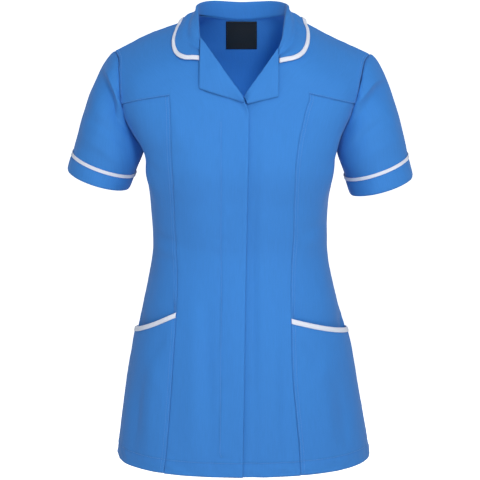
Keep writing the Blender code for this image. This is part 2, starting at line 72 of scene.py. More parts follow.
# Half widths to the wearer's right and left, and depths in front of and behind the side seams
Section = namedtuple("Section", "height right left front back")
SECTIONS = (
    Section(-732, 206, 213, 151, 143),
    Section(-651, 197, 200, 147, 135),
    Section(-570, 184, 185, 140, 125),
    Section(-516, 172, 172, 132, 115),
    Section(-462, 160, 157, 121, 102),
    Section(-409, 149, 144, 111, 89),
    Section(-369, 145, 140, 108, 84),
    Section(-303, 150, 142, 122, 93),
    Section(-257, 156, 150, 133, 102),
    Section(-220, 159, 154, 134, 107),
    Section(-190, 181, 168, 130, 110),
    Section(-160, 202, 190, 125, 111),
    Section(-110, 218, 216, 114, 107),
    Section(-60, 228, 232, 99, 98),
    Section(20, 232, 236, 82, 86),
)

# Heights of the two shoulder seams, by their distance from the middle
Shoulder = namedtuple("Shoulder", "distance right left")
SHOULDERS = (
    Shoulder(0, -2, -2),
    Shoulder(70, -2, -1),
    Shoulder(100, -14, -12),
    Shoulder(125, -23, -25),
    Shoulder(150, -32, -38),
    Shoulder(172, -42, -48),
    Shoulder(205, -60, -63),
    Shoulder(212, -65, -67),
)

# The armhole seam, as shares of the body's half width, by the share of the way to the underarm
SHOULDER_TIP = {RIGHT: 205.0, LEFT: 209.0}
UNDERARM = {RIGHT: -220.0, LEFT: -218.0}
Armhole = namedtuple("Armhole", "share right left")
ARMHOLE = (
    Armhole(0.0, 0.899, 0.902),
    Armhole(0.1, 0.874, 0.870),
    Armhole(0.25, 0.884, 0.871),
    Armhole(0.45, 0.905, 0.888),
    Armhole(0.65, 0.935, 0.922),
    Armhole(0.82, 0.971, 0.966),
    Armhole(0.93, 0.9925, 0.992),
    Armhole(1.0, 1.0, 1.0),
)
ARMHOLE_PASSES = 5

# The free edges of the two fronts: neck, roll line, and the overlap down to the hem
Edge = namedtuple("Edge", "height right left")
FRONT_EDGES = (
    Edge(-732, 2, -25),
    Edge(-433, 7, -24),
    Edge(-155, 12, -22),
    Edge(-133, 2.5, 2),
    Edge(-60, -52.5, 56),
    Edge(-43, -65, 63),
    Edge(-2, -69.5, 69.5),
)
UNDERLAP_SINK = 2.4
UNDERLAP_FULL_AT = 17.0
UNDERLAP_ENDS_AT = 34.0

# The princess seams, which turn outward to the armholes under the shoulder yokes
YOKE_SHARE = 0.55
Princess = namedtuple("Princess", "height right left")
PRINCESS = (
    Princess(-732, -124, 94),
    Princess(-687, -119, 92),
    Princess(-636, -115, 87),
    Princess(-568, -110, 81),
    Princess(-480, -104, 79),
    Princess(-394, -102, 79),
    Princess(-285, -105, 82),
    Princess(-205, -107, 87),
    Princess(-151, -110, 99),
    Princess(-129, -112, 105),
    Princess(-2, -113, 106),
)

# Fullness that the princess seams give the chest
CHEST_EASE = 9.0
CHEST_EASE_X = 84.0
CHEST_EASE_HEIGHT = -246.0
CHEST_EASE_WIDTH = 48.0
CHEST_EASE_LENGTH = 62.0

# The hem is level at the sides and a little lower in front
HEM_SIDE = -727.0
HEM_FRONT = -729.5
HEM_BACK = -726.0
HEM_ALLOWANCE = 23.0

# The stitch that holds the fastening strip behind the right front, and its small turn at the foot
Placket = namedtuple("Placket", "height x")
PLACKET = (
    Placket(-700, -30),
    Placket(-690, -34),
    Placket(-449, -32),
    Placket(-166, -32),
)

# The sleeves and their cuffs; each ring is given by its outer and inner end in front view
Ring = namedtuple("Ring", "outer_x outer_z inner_x inner_z")
CUFF_SEAM = {RIGHT: Ring(276, -224, 175, -259), LEFT: Ring(272, -228, 170, -264)}
CUFF_HEM = {RIGHT: Ring(285, -251, 184, -282), LEFT: Ring(281, -261, 177, -291)}
SLEEVE_HALF_DEPTH = 60.0
SLEEVE_FRONT_DROP = 9.0
SLEEVE_CAP_FULLNESS = 30.0
SLEEVE_FACE_FULLNESS = 27.0
SLEEVE_FULLNESS_POWER = 1.5
SLEEVE_SQUARENESS = 14.0
CUFF_TAPE_HALF_WIDTH = 2.75

# The drape fold that falls beside each armhole: how far its edge lies from the seam, and its depth
Drape = namedtuple("Drape", "degrees right_edge right_depth left_edge left_depth")
DRAPE = (
    Drape(0, 42, 0.0, 54, 0.0),
    Drape(12, 39, 0.5, 51, 2.0),
    Drape(25, 36, 3.0, 47, 5.0),
    Drape(38, 33, 7.0, 42, 8.0),
    Drape(45, 30, 9.0, 37, 9.0),
    Drape(58, 25.5, 12.0, 29.5, 9.5),
    Drape(70, 20.6, 13.0, 23, 9.5),
    Drape(84, 15.5, 13.0, 14, 9.0),
    Drape(94, 10, 11.5, 7, 7.5),
    Drape(104, 4.5, 9.0, 1, 5.5),
    Drape(112, 1, 6.5, 0, 4.0),
    Drape(130, 0, 3.0, 0, 2.0),
    Drape(155, 0, 1.0, 0, 1.0),
    Drape(180, 0, 0.0, 0, 0.0),
)
DRAPE_FALL = 17.0
DRAPE_LIP = 0.14
DRAPE_LIP_WIDTH = 4.5
DRAPE_RETURN = 30.0
DRAPE_BEHIND = 0.7

# The collar: its end at the revers, then lines across it, round the neck to the centre back
CollarEnd = namedtuple("CollarEnd", "seam_x seam_height edge_x edge_height stand")
COLLAR_END = {
    RIGHT: CollarEnd(65.7, -43, 66.0, -75, 3.4),
    LEFT: CollarEnd(58.3, -58, 59.0, -79, 3.4),
}
CollarFront = namedtuple("CollarFront", "seam_share right_x right_drop left_x left_drop stand")
COLLAR_FRONT = (
    CollarFront(0.12, 76, 71, 72, 75, 4.2),
    CollarFront(0.28, 89, 65, 84, 69, 5.4),
    CollarFront(0.45, 101, 54, 95, 58, 6.9),
    CollarFront(0.62, 108, 40, 103, 43, 8.8),
    CollarFront(0.8, 108, 23, 107, 24, 11.4),
    CollarFront(0.92, 103, 9, 105, 10, 14.0),
    CollarFront(1.0, 97, 0, 101, 0, 16.2),
)
CollarBack = namedtuple("CollarBack", "seam_x edge_x edge_drop stand")
COLLAR_BACK = (
    CollarBack(68.5, 93, 12, 18.4),
    CollarBack(64, 87, 20, 21.4),
    CollarBack(56, 75, 25, 24.8),
    CollarBack(43, 57, 28, 27.8),
    CollarBack(24, 32, 30, 29.6),
    CollarBack(0, 0, 31, 30.2),
)
# How far the stand leans out at the shoulders, for each unit of its height
COLLAR_LEAN = {RIGHT: 0.0, LEFT: 0.25}
COLLAR_FOOT_LIFT = 0.2
COLLAR_ROLL_RADIUS = 2.6
COLLAR_ROLL_TURNS = (0, 50, 100, 150)
COLLAR_FALL_SHARES = (0.18, 0.36, 0.55, 0.76, 1.0)
COLLAR_EDGE_LIFT = 4.0
COLLAR_HUG = 1.8
COLLAR_ROWS = 44
COLLAR_COLUMNS = 240

# The hollow along the fall, by the share of the way from the collar's foot to its edge
COLLAR_HOLLOW = 3.0
COLLAR_HOLLOW_AT = 0.52
COLLAR_HOLLOW_WIDTH = 0.11

# The revers: a four-cornered facing turned back along the roll line
Revers = namedtuple("Revers", "roll_top roll_foot point_out point_in")
REVERS = {
    RIGHT: Revers((-64.2, -43), (3.2, -133), (-66, -119), (3.6, -141)),
    LEFT: Revers((57.2, -58), (3.6, -131), (57.5, -131), (9.5, -142)),
}
REVERS_ROLL_LIFT = {RIGHT: 7.5, LEFT: 5.0}
REVERS_EDGE_LIFT = {RIGHT: 4.0, LEFT: 3.0}
REVERS_ROUND = 2.2
REVERS_ROLL_RADIUS = 1.3
REVERS_ROLL_TURNS = (175, 140, 105, 70, 35)
REVERS_COLUMNS = 60

# The left revers' foot is tucked in behind the right one
REVERS_TUCK = {RIGHT: 0.0, LEFT: 5.5}
REVERS_TUCK_REACH = 8.0

# The pockets: patches from the princess seam to the side seam, down to the hem
POCKET_MOUTH_IN = {RIGHT: -474.0, LEFT: -482.0}
POCKET_MOUTH_OUT = -512.0
POCKET_MOUTH_CURVE = 1.7
POCKET_LIFT = 1.9
POCKET_GAPE = 3.2
POCKET_GAPE_LENGTH = 55.0
POCKET_GAPE_AT = 0.86
POCKET_FOOT_GAP = 0.6
POCKET_SEAM_SHARE = 0.2
POCKET_SEAM_TURN = 0.1
POCKET_SEAM_REACH = 16.0
UNDER_POCKET_SINK = 2.2
POCKET_BINDING_WIDTH = 7.5

# The plain label inside the back of the neck
LABEL_HALF_WIDTH = 26.0
LABEL_TOP = -10.0
LABEL_FOOT = -55.0
LABEL_SINK = 2.6
LABEL_BOW = 0.8
LABEL_MARGIN = 1.4
LABEL_ROWS = 34
LABEL_COLUMNS = 38

# Where the cloth stands fuller than the body: beside the underarms, by the turn from the front in
# degrees, and under the bust
UNDERARM_FULL = 14.0
UNDERARM_FULL_TURN = 57.0
UNDERARM_FULL_TO_FRONT = 19.0
UNDERARM_FULL_TO_SIDE = 11.0
UNDERARM_FULL_HEIGHT = -215.0
UNDERARM_FULL_LENGTH = 70.0
TURN_STRETCH = 1.15
UNDER_BUST_FULL = 6.5
UNDER_BUST_HALF_WIDTH = 130.0
UNDER_BUST_HEIGHT = -350.0
UNDER_BUST_LENGTH = 58.0

# The overlap's free edge stands away a little, and rolls over at its corner under the revers
OVERLAP_EDGE_DIP = 0.7
OVERLAP_STAND = 2.8
OVERLAP_STAND_WIDTH = 17.0
OVERLAP_STAND_FROM = -160.0
CORNER_ROLL = 5.0
CORNER_ROLL_HEIGHT = -144.0
CORNER_ROLL_LENGTH = 13.0
CORNER_ROLL_WIDTH = 5.0

# The cloth behind a pocket's mouth sinks in
MOUTH_SINK = 6.5
MOUTH_SINK_ABOVE = 38.0
MOUTH_SINK_BELOW = 60.0

# A binding's section: how far each point lies past the edge it wraps, and out from the cloth
Wrap = namedtuple("Wrap", "past out")
COLLAR_WRAP = (
    Wrap(-6.9, 0.25),
    Wrap(-6.5, 0.75),
    Wrap(-5.4, 1.05),
    Wrap(-3.4, 1.2),
    Wrap(-1.2, 1.15),
    Wrap(0.3, 0.75),
    Wrap(0.9, -0.1),
    Wrap(0.6, -1.1),
    Wrap(-0.6, -1.75),
    Wrap(-3.0, -1.85),
    Wrap(-5.8, -1.8),
)

# Soft folds: where each starts and ends in front view, how far it bows sideways, how wide it is
# to each side, and its depth, which is negative in a trough
Fold = namedtuple("Fold", "start_x start_z end_x end_z bow width depth")
FRONT_FOLDS = (
    Fold(-53, -430, -45, -728, 3, 12, -2.6),
    Fold(-76, -412, -82, -715, -4, 17, 2.2),
    Fold(-14, -330, -12, -650, 2, 11, 1.4),
    Fold(22, -215, 19, -640, 3, 11, -2.4),
    Fold(46, -452, 55, -722, -3, 15, 2.4),
    Fold(68, -520, 74, -728, 3, 11, -2.0),
    Fold(-151, -222, -104, -258, 5, 8, -1.1),
    Fold(-153, -240, -112, -292, 5, 11, 0.9),
    Fold(-150, -262, -122, -330, 4, 9, -0.8),
    Fold(147, -222, 106, -252, -5, 8, -1.0),
    Fold(148, -240, 112, -300, -5, 11, 0.9),
    Fold(143, -268, 120, -335, -3, 9, -0.7),
    Fold(-146, -344, -98, -362, 3, 9, -1.4),
    Fold(-147, -372, -88, -378, 2, 10, 1.2),
    Fold(-147, -396, -106, -392, -3, 9, -1.1),
    Fold(140, -335, 94, -350, 3, 9, -1.3),
    Fold(141, -362, 84, -366, 2, 10, 1.1),
    Fold(142, -390, 104, -384, -3, 10, -1.2),
    Fold(-70, -96, -168, -128, 7, 12, -1.6),
    Fold(66, -98, 166, -124, 6, 12, -1.6),
    Fold(-96, -140, -92, -222, 3, 13, 1.4),
    Fold(92, -146, 88, -226, -3, 13, 1.4),
    Fold(-136, -545, -150, -712, 4, 13, 2.6),
    Fold(-156, -560, -176, -720, 3, 9, -2.2),
    Fold(126, -552, 142, -716, -4, 14, 2.6),
    Fold(150, -566, 172, -722, -3, 10, -2.2),
    Fold(30, -160, 74, -196, 4, 12, -1.1),
    Fold(-18, -170, -70, -205, -4, 14, -1.0),
)
BACK_FOLDS = (
    Fold(0, -300, 4, -560, 3, 20, -3.4),
    Fold(-34, -330, -40, -640, -4, 15, 2.8),
    Fold(40, -318, 46, -660, 5, 16, 2.6),
    Fold(-72, -380, -90, -722, 5, 16, -3.6),
    Fold(-118, -430, -146, -720, 4, 15, 3.0),
    Fold(78, -372, 98, -724, -5, 17, -3.4),
    Fold(122, -440, 152, -718, -4, 14, 2.8),
    Fold(8, -470, 14, -726, 3, 15, 2.6),
    Fold(-152, -224, -88, -300, 6, 9, -2.6),
    Fold(-150, -252, -84, -344, 6, 12, 2.2),
    Fold(146, -224, 84, -296, -6, 9, -2.6),
    Fold(146, -250, 80, -338, -6, 12, 2.2),
    Fold(-146, -344, -82, -366, 3, 9, -2.6),
    Fold(-146, -384, -70, -386, -3, 10, 2.2),
    Fold(140, -338, 72, -362, 3, 9, -2.6),
    Fold(141, -380, 78, -384, -3, 10, 2.2),
    Fold(-60, -358, 56, -372, 5, 12, -2.4),
    Fold(-170, -96, -104, -196, 8, 13, -2.2),
    Fold(172, -98, 106, -198, -8, 13, -2.2),
    Fold(-70, -60, 68, -64, -6, 14, -1.4),
)
SLEEVE_FOLDS = {
    RIGHT: (
        Fold(-172, -226, -250, -164, 6, 9, -2.4),
        Fold(-186, -246, -264, -196, 5, 12, 2.0),
        Fold(-232, -96, -262, -206, -6, 12, 1.6),
        Fold(-212, -150, -238, -236, -5, 10, -1.6),
    ),
    LEFT: (
        Fold(166, -226, 244, -160, -6, 9, -2.4),
        Fold(178, -248, 258, -198, -5, 12, 2.0),
        Fold(236, -104, 258, -214, 6, 12, 1.6),
        Fold(208, -156, 232, -240, 5, 10, -1.6),
    ),
}
POCKET_FOLDS = (
    Fold(-112, -500, -150, -560, 5, 10, -1.3),
    Fold(-150, -530, -128, -640, -6, 14, 1.6),
    Fold(-172, -556, -164, -700, 4, 12, -1.4),
    Fold(92, -508, 128, -566, -5, 10, -1.3),
    Fold(146, -536, 112, -646, 6, 14, 1.5),
    Fold(168, -560, 168, -700, -4, 12, -1.4),
)
FOLD_SHARP_SIDE = 0.7
FRONT_FADE = 26.0

# Fine cells stand near seams and edges, where the cloth turns sharply
FINE_CELL = 1.3
FINE_REACH = 9.0
LINE_SAMPLES = 700
YOKE_FINE_ROWS = 10
YOKE_COARSE_ROWS = 4
YOKE_WIDTH = 90.0
HIDDEN_WIDTH = 40.0
CUFF_COLUMNS = 190
CUFF_SHARES = (0.0, 0.04, 0.1, *np.linspace(0.18, 0.85, 9), 0.92, 0.96, 1.0)
POCKET_MOUTH_COLUMNS = 150

# Topstitching, in from the seam that it follows
EDGE_ROW = 1.7
SECOND_ROW = 6.2
ARMHOLE_ROWS = (1.8, 5.5)
YOKE_ROW = 1.9
STITCH_SHARE = 0.86
PRINCESS_DEPTH = 0.5
PRINCESS_SHADE = 0.45
PRINCESS_ROWS_ABOVE_YOKE = 8
ROW_SHADE_REACH = 1.5
FAR = 99.0

# A seam in section: its dip, the allowance that is pressed beside it, and its stitch rows
SEAM_DIP = 0.3
SEAM_DIP_WIDTH = 0.9
SEAM_LIFT = 0.36
SEAM_LIFT_RISE = 2.2
SEAM_LIFT_WIDTH = 7.5
SEAM_LIFT_FALL = 3.5
SEAM_PUCKER_WIDTH = 7.0
ROW_DIP = 0.26
ROW_DIP_WIDTH = 0.9
HEM_EDGE_DIP = 0.8
HEM_EDGE_WIDTH = 1.1
HEM_LIFT = 0.35

# Walls of what is folded or doubled, and of the thin trims
CUFF_THICKNESS = 1.6
COLLAR_THICKNESS = 1.3
REVERS_THICKNESS = 1.2
POCKET_THICKNESS = 1.3
TAPE_THICKNESS = 0.7
BINDING_THICKNESS = 0.45
LABEL_THICKNESS = 0.5

# Slight waves of the cloth: how long they are, the seed of their directions, and how high
Wave = namedtuple("Wave", "length seed height")
BODY_WAVES = (Wave(95.0, 3, 0.55), Wave(38.0, 4, 0.16))
SEAM_WAVES = (Wave(13.0, 5, 0.22),)
HEM_WAVES = (Wave(17.0, 6, 0.38), Wave(42.0, 7, 0.5))
PLACKET_WAVES = (Wave(21.0, 8, 0.3),)
SLEEVE_WAVES = (Wave(60.0, 9, 0.5),)
SLEEVE_SEAM_WAVES = (Wave(14.0, 5, 0.2),)
CUFF_WAVES = (Wave(55.0, 9, 0.5), Wave(24.0, 11, 0.22))
TAPE_WAVES = (Wave(9.0, 12, 0.12),)
COLLAR_WAVES = (Wave(46.0, 21, 0.55), Wave(18.0, 22, 0.15))
COLLAR_BINDING_WAVES = (Wave(11.0, 31, 0.13), Wave(31.0, 32, 0.16))
REVERS_WAVES = (Wave(52.0, 41, 0.6),)
POCKET_BINDING_WAVES = (Wave(11.0, 51, 0.13), Wave(31.0, 52, 0.16))

# Woven finishes: the yarns' tints, then the material; rib, height and wrinkle are in millimetres
Weave = namedtuple("Weave", "warp weft rib contrast roughness sheen patch seam_shade height wrinkle")
# seam_shade is how far the painted shade beside seams and edges darkens the cloth
CLOTH_WEAVE = Weave(1.07, 0.9, 0.75, 1.0, 0.78, 0.08, 0.22, 0.12, 0.035, 0.5)
TAPE_WEAVE = Weave(1.02, 0.93, 0.6, 0.6, 0.7, 0.12, 0.3, 0.12, 0.04, 0.25)
LABEL_WEAVE = Weave(1.1, 0.8, 0.5, 0.6, 0.5, 0.05, 0.3, 0.2, 0.03, 0.1)

# The studio in metres: its paper's section, and its softboxes with their shares of a named power
PAPER_FRONT = -6.0
PAPER_REACH = 7.0
PAPER_BEND = 2.2
PAPER_BEND_STEPS = 16
PAPER_TOP = 9.0
PAPER_HALF_WIDTH = 9.0
AIR_COLOUR = (0.62, 0.80, 1.0, 1.0)
MIDDLE = (0.0, 0.0, -0.35)
Softbox = namedtuple("Softbox", "name place target width height power share")
SOFTBOXES = (
    Softbox("key_softbox", (0.7, -2.5, 1.15), (0.0, 0.0, -0.3), 0.6, 0.6, "key_power", 1.0),
    Softbox("fill_softbox", (-0.4, -2.9, -1.15), MIDDLE, 1.3, 1.3, "fill_power", 1.0),
    Softbox("right_softbox", (-1.9, -1.3, -0.1), (-0.1, 0.0, -0.25), 0.9, 0.9, "side_power", 0.8),
    Softbox("left_softbox", (1.9, -1.3, -0.1), (0.1, 0.0, -0.25), 0.9, 0.9, "side_power", 1.0),
    Softbox("top_softbox", (0.0, -0.9, 1.9), MIDDLE, 2.6, 0.8, "top_power", 1.0),
    Softbox("back_softbox", (0.0, 3.2, 0.5), MIDDLE, 1.2, 1.2, "back_power", 1.0),
)


def mix(a, b, share):
    return a + (b - a) * share


def smooth_step(share):
    share = np.clip(share, 0.0, 1.0)
    return share * share * (3.0 - 2.0 * share)


def column(table, name):
    return np.array([row[0] for row in table], float), np.array([getattr(row, name) for row in table], float)


def read_straight(table, name, place):
    """Read one column of a table along straight lines between its rows."""
    places, values = column(table, name)
    return np.interp(place, places, values)


def read_smooth(table, name, place):
    """Read one column of a table along a smooth curve through its rows."""
    places, values = column(table, name)
    last = len(places) - 1
    before = np.maximum(np.arange(last + 1) - 1, 0)
    after = np.minimum(np.arange(last + 1) + 1, last)
    slopes = (values[after] - values[before]) / (places[after] - places[before])
    place = np.clip(place, places[0], places[-1])
    low = np.clip(np.searchsorted(places, place, side="right") - 1, 0, last - 1)
    width = places[low + 1] - places[low]
    t = (place - places[low]) / width
    rise = values[low + 1] - values[low]
    start = slopes[low] * width
    finish = slopes[low + 1] * width
    return values[low] + t * (start + t * (3 * rise - 2 * start - finish + t * (start + finish - 2 * rise)))


def side_name(side):
    return "left" if side > 0 else "right"


def by_side(side, table, place):
    """Read a table's left or right column, whichever side each place is on."""
    left = read_smooth(table, "left", place)
    right = read_smooth(table, "right", place)
    return np.where(np.asarray(side) > 0, left, right)


def half_width(side, height):
    return by_side(side, SECTIONS, height)


def shoulder_height(x):
    return by_side(x, SHOULDERS, np.abs(x))


def neck_height(x):
    """The height of the back's top edge: the neck seam, and the shoulder seam beyond it."""
    dip = np.maximum(0.0, 1.0 - (np.asarray(x) / NECK_HALF_WIDTH) ** 2)
    return shoulder_height(x) - BACK_NECK_DROP * dip


def chest_ease(x, height):
    across = (np.abs(x) - CHEST_EASE_X) / CHEST_EASE_WIDTH
    along = (height - CHEST_EASE_HEIGHT) / CHEST_EASE_LENGTH
    return CHEST_EASE * np.exp(-across * across - along * along)


def body_point(angle, height):
    """Points of the body's outer face: angle 0 is the centre front, 90 degrees the left side."""
    angle, height = np.broadcast_arrays(np.asarray(angle, float), np.asarray(height, float))
    sine = np.sin(angle)
    cosine = np.cos(angle)
    side = np.where(sine >= 0, LEFT, RIGHT)
    x = side * half_width(side, height) * np.abs(sine) ** (2 / SQUARENESS)
    in_front = cosine > 0
    depth = np.where(in_front, read_smooth(SECTIONS, "front", height), read_smooth(SECTIONS, "back", height))
    y = depth * np.abs(cosine) ** (2 / SQUARENESS)
    top = np.where(in_front, shoulder_height(x), neck_height(x))
    drop = np.maximum(top - height, 0.0)
    near = np.minimum(drop / SHOULDER_DROP, 1.0)
    fall = (near * (2.0 - near)) ** SHOULDER_BEND
    reach = NECK_HALF_WIDTH + NECK_SPREAD * drop
    neck = NECK_BACK_DEPTH * np.sqrt(np.maximum(0.0, 1.0 - (x / reach) ** 2))
    y = np.where(in_front, -y * fall - chest_ease(x, height), mix(neck, y, fall))
    return np.stack([x, y, height], -1)


def angle_at(x, height, behind=False):
    """The angle at which the section at this height has this x."""
    side = np.where(np.asarray(x) >= 0, LEFT, RIGHT)
    share = np.minimum(np.abs(x) / half_width(side, height), 1.0)
    angle = np.arcsin(share ** (SQUARENESS / 2))
    return side * np.where(behind, math.pi - angle, angle)


def unit(vectors):
    return vectors / np.maximum(np.linalg.norm(vectors, axis=-1, keepdims=True), 1e-9)


def body_normal(angle, height):
    """The outward normal of the body's outer face."""
    turn = 0.01
    step = 1.0
    across = body_point(angle + turn, height - step) - body_point(angle - turn, height - step)
    upward = body_point(angle, height) - body_point(angle, height - 2 * step)
    return unit(np.cross(across, upward))


def lifted(angle, height, lift):
    return body_point(angle, height) + body_normal(angle, height) * np.asarray(lift)[..., None]


def upper_point(side, x, share, behind=False):
    """Points above the underarm: rows follow the shoulder at the top and are level at the foot."""
    top = np.where(behind, neck_height(x), shoulder_height(x))
    height = mix(top, UNDERARM[side], share)
    return body_point(angle_at(x, height, behind), height)


def armhole_x(side, share):
    """The x of the armhole seam, a share of the way down from the shoulder tip."""
    x = side * SHOULDER_TIP[side] * np.ones_like(share)
    for _ in range(ARMHOLE_PASSES):
        height = mix(shoulder_height(x), UNDERARM[side], share)
        x = side * half_width(side, height) * read_smooth(ARMHOLE, side_name(side), share)
    return x


def lower_point(side, angle, share):
    """Points below the underarm: rows are level at the sides and follow the hem at the foot."""
    behind = np.cos(angle) < 0
    x = body_point(angle, mix(UNDERARM[side], HEM_SIDE, share))[..., 0]
    hem = mix(HEM_SIDE, np.where(behind, HEM_BACK, HEM_FRONT), np.cos(angle) ** 2)
    height = mix(UNDERARM[side], hem, share)
    return body_point(angle_at(x, height, behind), height)


def run_along(points, axis):
    """How far along an axis of a grid each point lies from its first one."""
    steps = np.linalg.norm(np.diff(points, axis=axis), axis=-1)
    start = np.zeros_like(np.take(steps, [0], axis=axis))
    return np.concatenate([start, np.cumsum(steps, axis=axis)], axis=axis)


def graded(line, cell, near_start=(), near_end=()):
    """Shares from 0 to 1, a cell apart along a line, and closer near seams and rows of stitches.

    line gives points for shares; near_start and near_end are distances from its two ends.
    """
    shares = np.linspace(0.0, 1.0, LINE_SAMPLES)
    run = run_along(line(shares), 0)
    density = np.full_like(run, 1.0 / cell)
    for place in list(near_start) + [run[-1] - place for place in near_end]:
        density[np.abs(run - place) < FINE_REACH] = 1.0 / FINE_CELL
    amount = np.concatenate([[0.0], np.cumsum((density[1:] + density[:-1]) / 2 * np.diff(run))])
    count = max(2, round(amount[-1]))
    return np.interp(np.linspace(0.0, amount[-1], count + 1), amount, shares)


def soft_waves(points, wavelength, seed):
    """An uneven ripple between about -1 and 1, the same wherever two pieces share a point."""
    random = np.random.default_rng(seed)
    total = np.zeros(points.shape[:-1])
    for _ in range(9):
        way = random.normal(size=3)
        way *= 2 * math.pi / wavelength / np.linalg.norm(way) * random.uniform(0.7, 1.4)
        total += np.sin(points @ way + random.uniform(0, 2 * math.pi))
    return total / 3.0


def waves(points, table):
    return sum(soft_waves(points, wave.length, wave.seed) * wave.height for wave in table)


def fold_relief(points, folds):
    """How far a list of soft folds moves each point out."""
    x = points[..., 0]
    z = points[..., 2]
    relief = np.zeros_like(x)
    for fold in folds:
        way = np.array([fold.end_x - fold.start_x, fold.end_z - fold.start_z], float)
        length = np.linalg.norm(way)
        way /= length
        along = ((x - fold.start_x) * way[0] + (z - fold.start_z) * way[1]) / length
        inside = np.clip(along, 0.0, 1.0)
        off = (x - fold.start_x) * way[1] - (z - fold.start_z) * way[0] - 4 * fold.bow * inside * (1 - inside)
        width = np.where(off > 0, fold.width, fold.width * FOLD_SHARP_SIDE)
        relief += fold.depth * np.exp(-(off / width) ** 2) * np.sin(math.pi * inside) ** 0.9
    return relief


def fullness(points):
    """Where the cloth stands fuller than the body's plain form: by the underarms and under the bust."""
    x = points[..., 0]
    y = points[..., 1]
    z = points[..., 2]
    off_turn = np.degrees(np.arctan2(np.abs(x), -y * TURN_STRETCH)) - UNDERARM_FULL_TURN
    spread = np.where(off_turn < 0, UNDERARM_FULL_TO_FRONT, UNDERARM_FULL_TO_SIDE)
    off_height = (z - UNDERARM_FULL_HEIGHT) / UNDERARM_FULL_LENGTH
    beside = UNDERARM_FULL * np.exp(-(off_turn / spread) ** 2 - off_height ** 2)
    off_height = (z - UNDER_BUST_HEIGHT) / UNDER_BUST_LENGTH
    under = UNDER_BUST_FULL * np.exp(-(x / UNDER_BUST_HALF_WIDTH) ** 4 - off_height ** 2)
    return beside + under * smooth_step(-y / FRONT_FADE)


def body_relief(points):
    """The folds and the slight unevenness of the cloth on the body, front and back."""
    folds = bpy.context.scene.tunic_folds
    y = points[..., 1]
    front = fold_relief(points, FRONT_FOLDS) * smooth_step(-y / FRONT_FADE)
    back = fold_relief(points, BACK_FOLDS) * smooth_step(y / FRONT_FADE)
    return (front + back) * folds.depth + waves(points, BODY_WAVES) * folds.unevenness


def seam_relief(points, distance, rows=(EDGE_ROW,)):
    """The dip of a seam, the raised allowance beside it, its stitch rows and their puckers."""
    folds = bpy.context.scene.tunic_folds
    dip = -SEAM_DIP * np.exp(-(distance / SEAM_DIP_WIDTH) ** 2)
    end = 1 - smooth_step((distance - SEAM_LIFT_WIDTH) / SEAM_LIFT_FALL)
    raised = SEAM_LIFT * smooth_step(distance / SEAM_LIFT_RISE) * end
    pucker = waves(points, SEAM_WAVES) * np.exp(-(distance / SEAM_PUCKER_WIDTH) ** 2)
    for row in rows:
        raised = raised - ROW_DIP * np.exp(-((distance - row) / ROW_DIP_WIDTH) ** 2)
    return dip + raised + pucker * folds.pucker


def hem_relief(points, distance):
    """A turned-up hem: its rounded lower edge, the stitch row that holds it, and its puckers."""
    folds = bpy.context.scene.tunic_folds
    edge = -HEM_EDGE_DIP * np.exp(-(distance / HEM_EDGE_WIDTH) ** 2)
    doubled = HEM_LIFT * (1 - smooth_step((distance - HEM_ALLOWANCE + 1.5) / 3.0))
    row = -ROW_DIP * np.exp(-((distance - HEM_ALLOWANCE) / 1.0) ** 2)
    near_row = np.exp(-((distance - HEM_ALLOWANCE * 0.6) / (HEM_ALLOWANCE * 0.75)) ** 2)
    pucker = waves(points, HEM_WAVES) * near_row
    return edge + doubled + row + pucker * folds.pucker


class Panel:
    """A grid of points on a cloth's outer face, with its normals and its runs along both ways."""

    def __init__(self, points, flip):
        self.points = points
        self.flip = flip
        self.across = run_along(points, 1)
        self.down = run_along(points, 0)
        self.seam = np.zeros(points.shape[:2])
        self.find_normals()

    def find_normals(self):
        down = np.gradient(self.points, axis=0)
        across = np.gradient(self.points, axis=1)
        self.normals = unit(np.cross(down, across)) * (-1.0 if self.flip else 1.0)

    def lift(self, relief):
        self.points = self.points + self.normals * relief[..., None]
        self.find_normals()

    def shade_seam(self, distance, reach=1.6, strength=1.0):
        """Mark a seam, so that its material paints shade on the cloth beside it, where its groove lies in
        shade.
        """
        self.seam = np.maximum(self.seam, strength * np.exp(-(distance / reach) ** 2))

    def area(self, keep=None):
        """The cloth's area in square metres, from its cells."""
        p = self.points * MM
        one = np.cross(p[1:, :-1] - p[:-1, :-1], p[:-1, 1:] - p[:-1, :-1])
        two = np.cross(p[1:, :-1] - p[1:, 1:], p[:-1, 1:] - p[1:, 1:])
        cells = (np.linalg.norm(one, axis=-1) + np.linalg.norm(two, axis=-1)) / 2
        return float(cells.sum() if keep is None else cells[keep].sum())


def line_on(points, normals, field, level):
    """The line on a grid where a field first crosses a level, row by row."""
    places = []
    for row in range(len(points)):
        values = field[row] - (level[row] if np.ndim(level) else level)
        change = np.nonzero(np.diff(np.sign(values)))[0]
        if len(change):
            k = change[0]
            share = values[k] / (values[k] - values[k + 1])
            place = mix(points[row, k], points[row, k + 1], share)
            places.append((place, unit(mix(normals[row, k], normals[row, k + 1], share))))
    return np.array([p for p, _ in places]), np.array([n for _, n in places])


def line_down(panel, field, level, rows=slice(None)):
    """A line that runs down a panel, crossing its rows."""
    level = level[rows] if np.ndim(level) else level
    return line_on(panel.points[rows], panel.normals[rows], field[rows], level)


def line_across(panel, field, level, columns=slice(None)):
    """A line that runs across a panel, crossing its columns."""
    turned = panel.points.transpose(1, 0, 2)[columns]
    return line_on(turned, panel.normals.transpose(1, 0, 2)[columns], field.T[columns], level)


def link(name, verts, faces, material):
    """Make a mesh object from points in millimetres."""
    data = bpy.data.meshes.new(name)
    data.from_pydata(np.asarray(verts) * MM, [], faces)
    data.validate()
    data.shade_smooth()
    data.materials.append(material)
    piece = bpy.data.objects.new(name, data)
    bpy.context.scene.collection.objects.link(piece)
    return piece


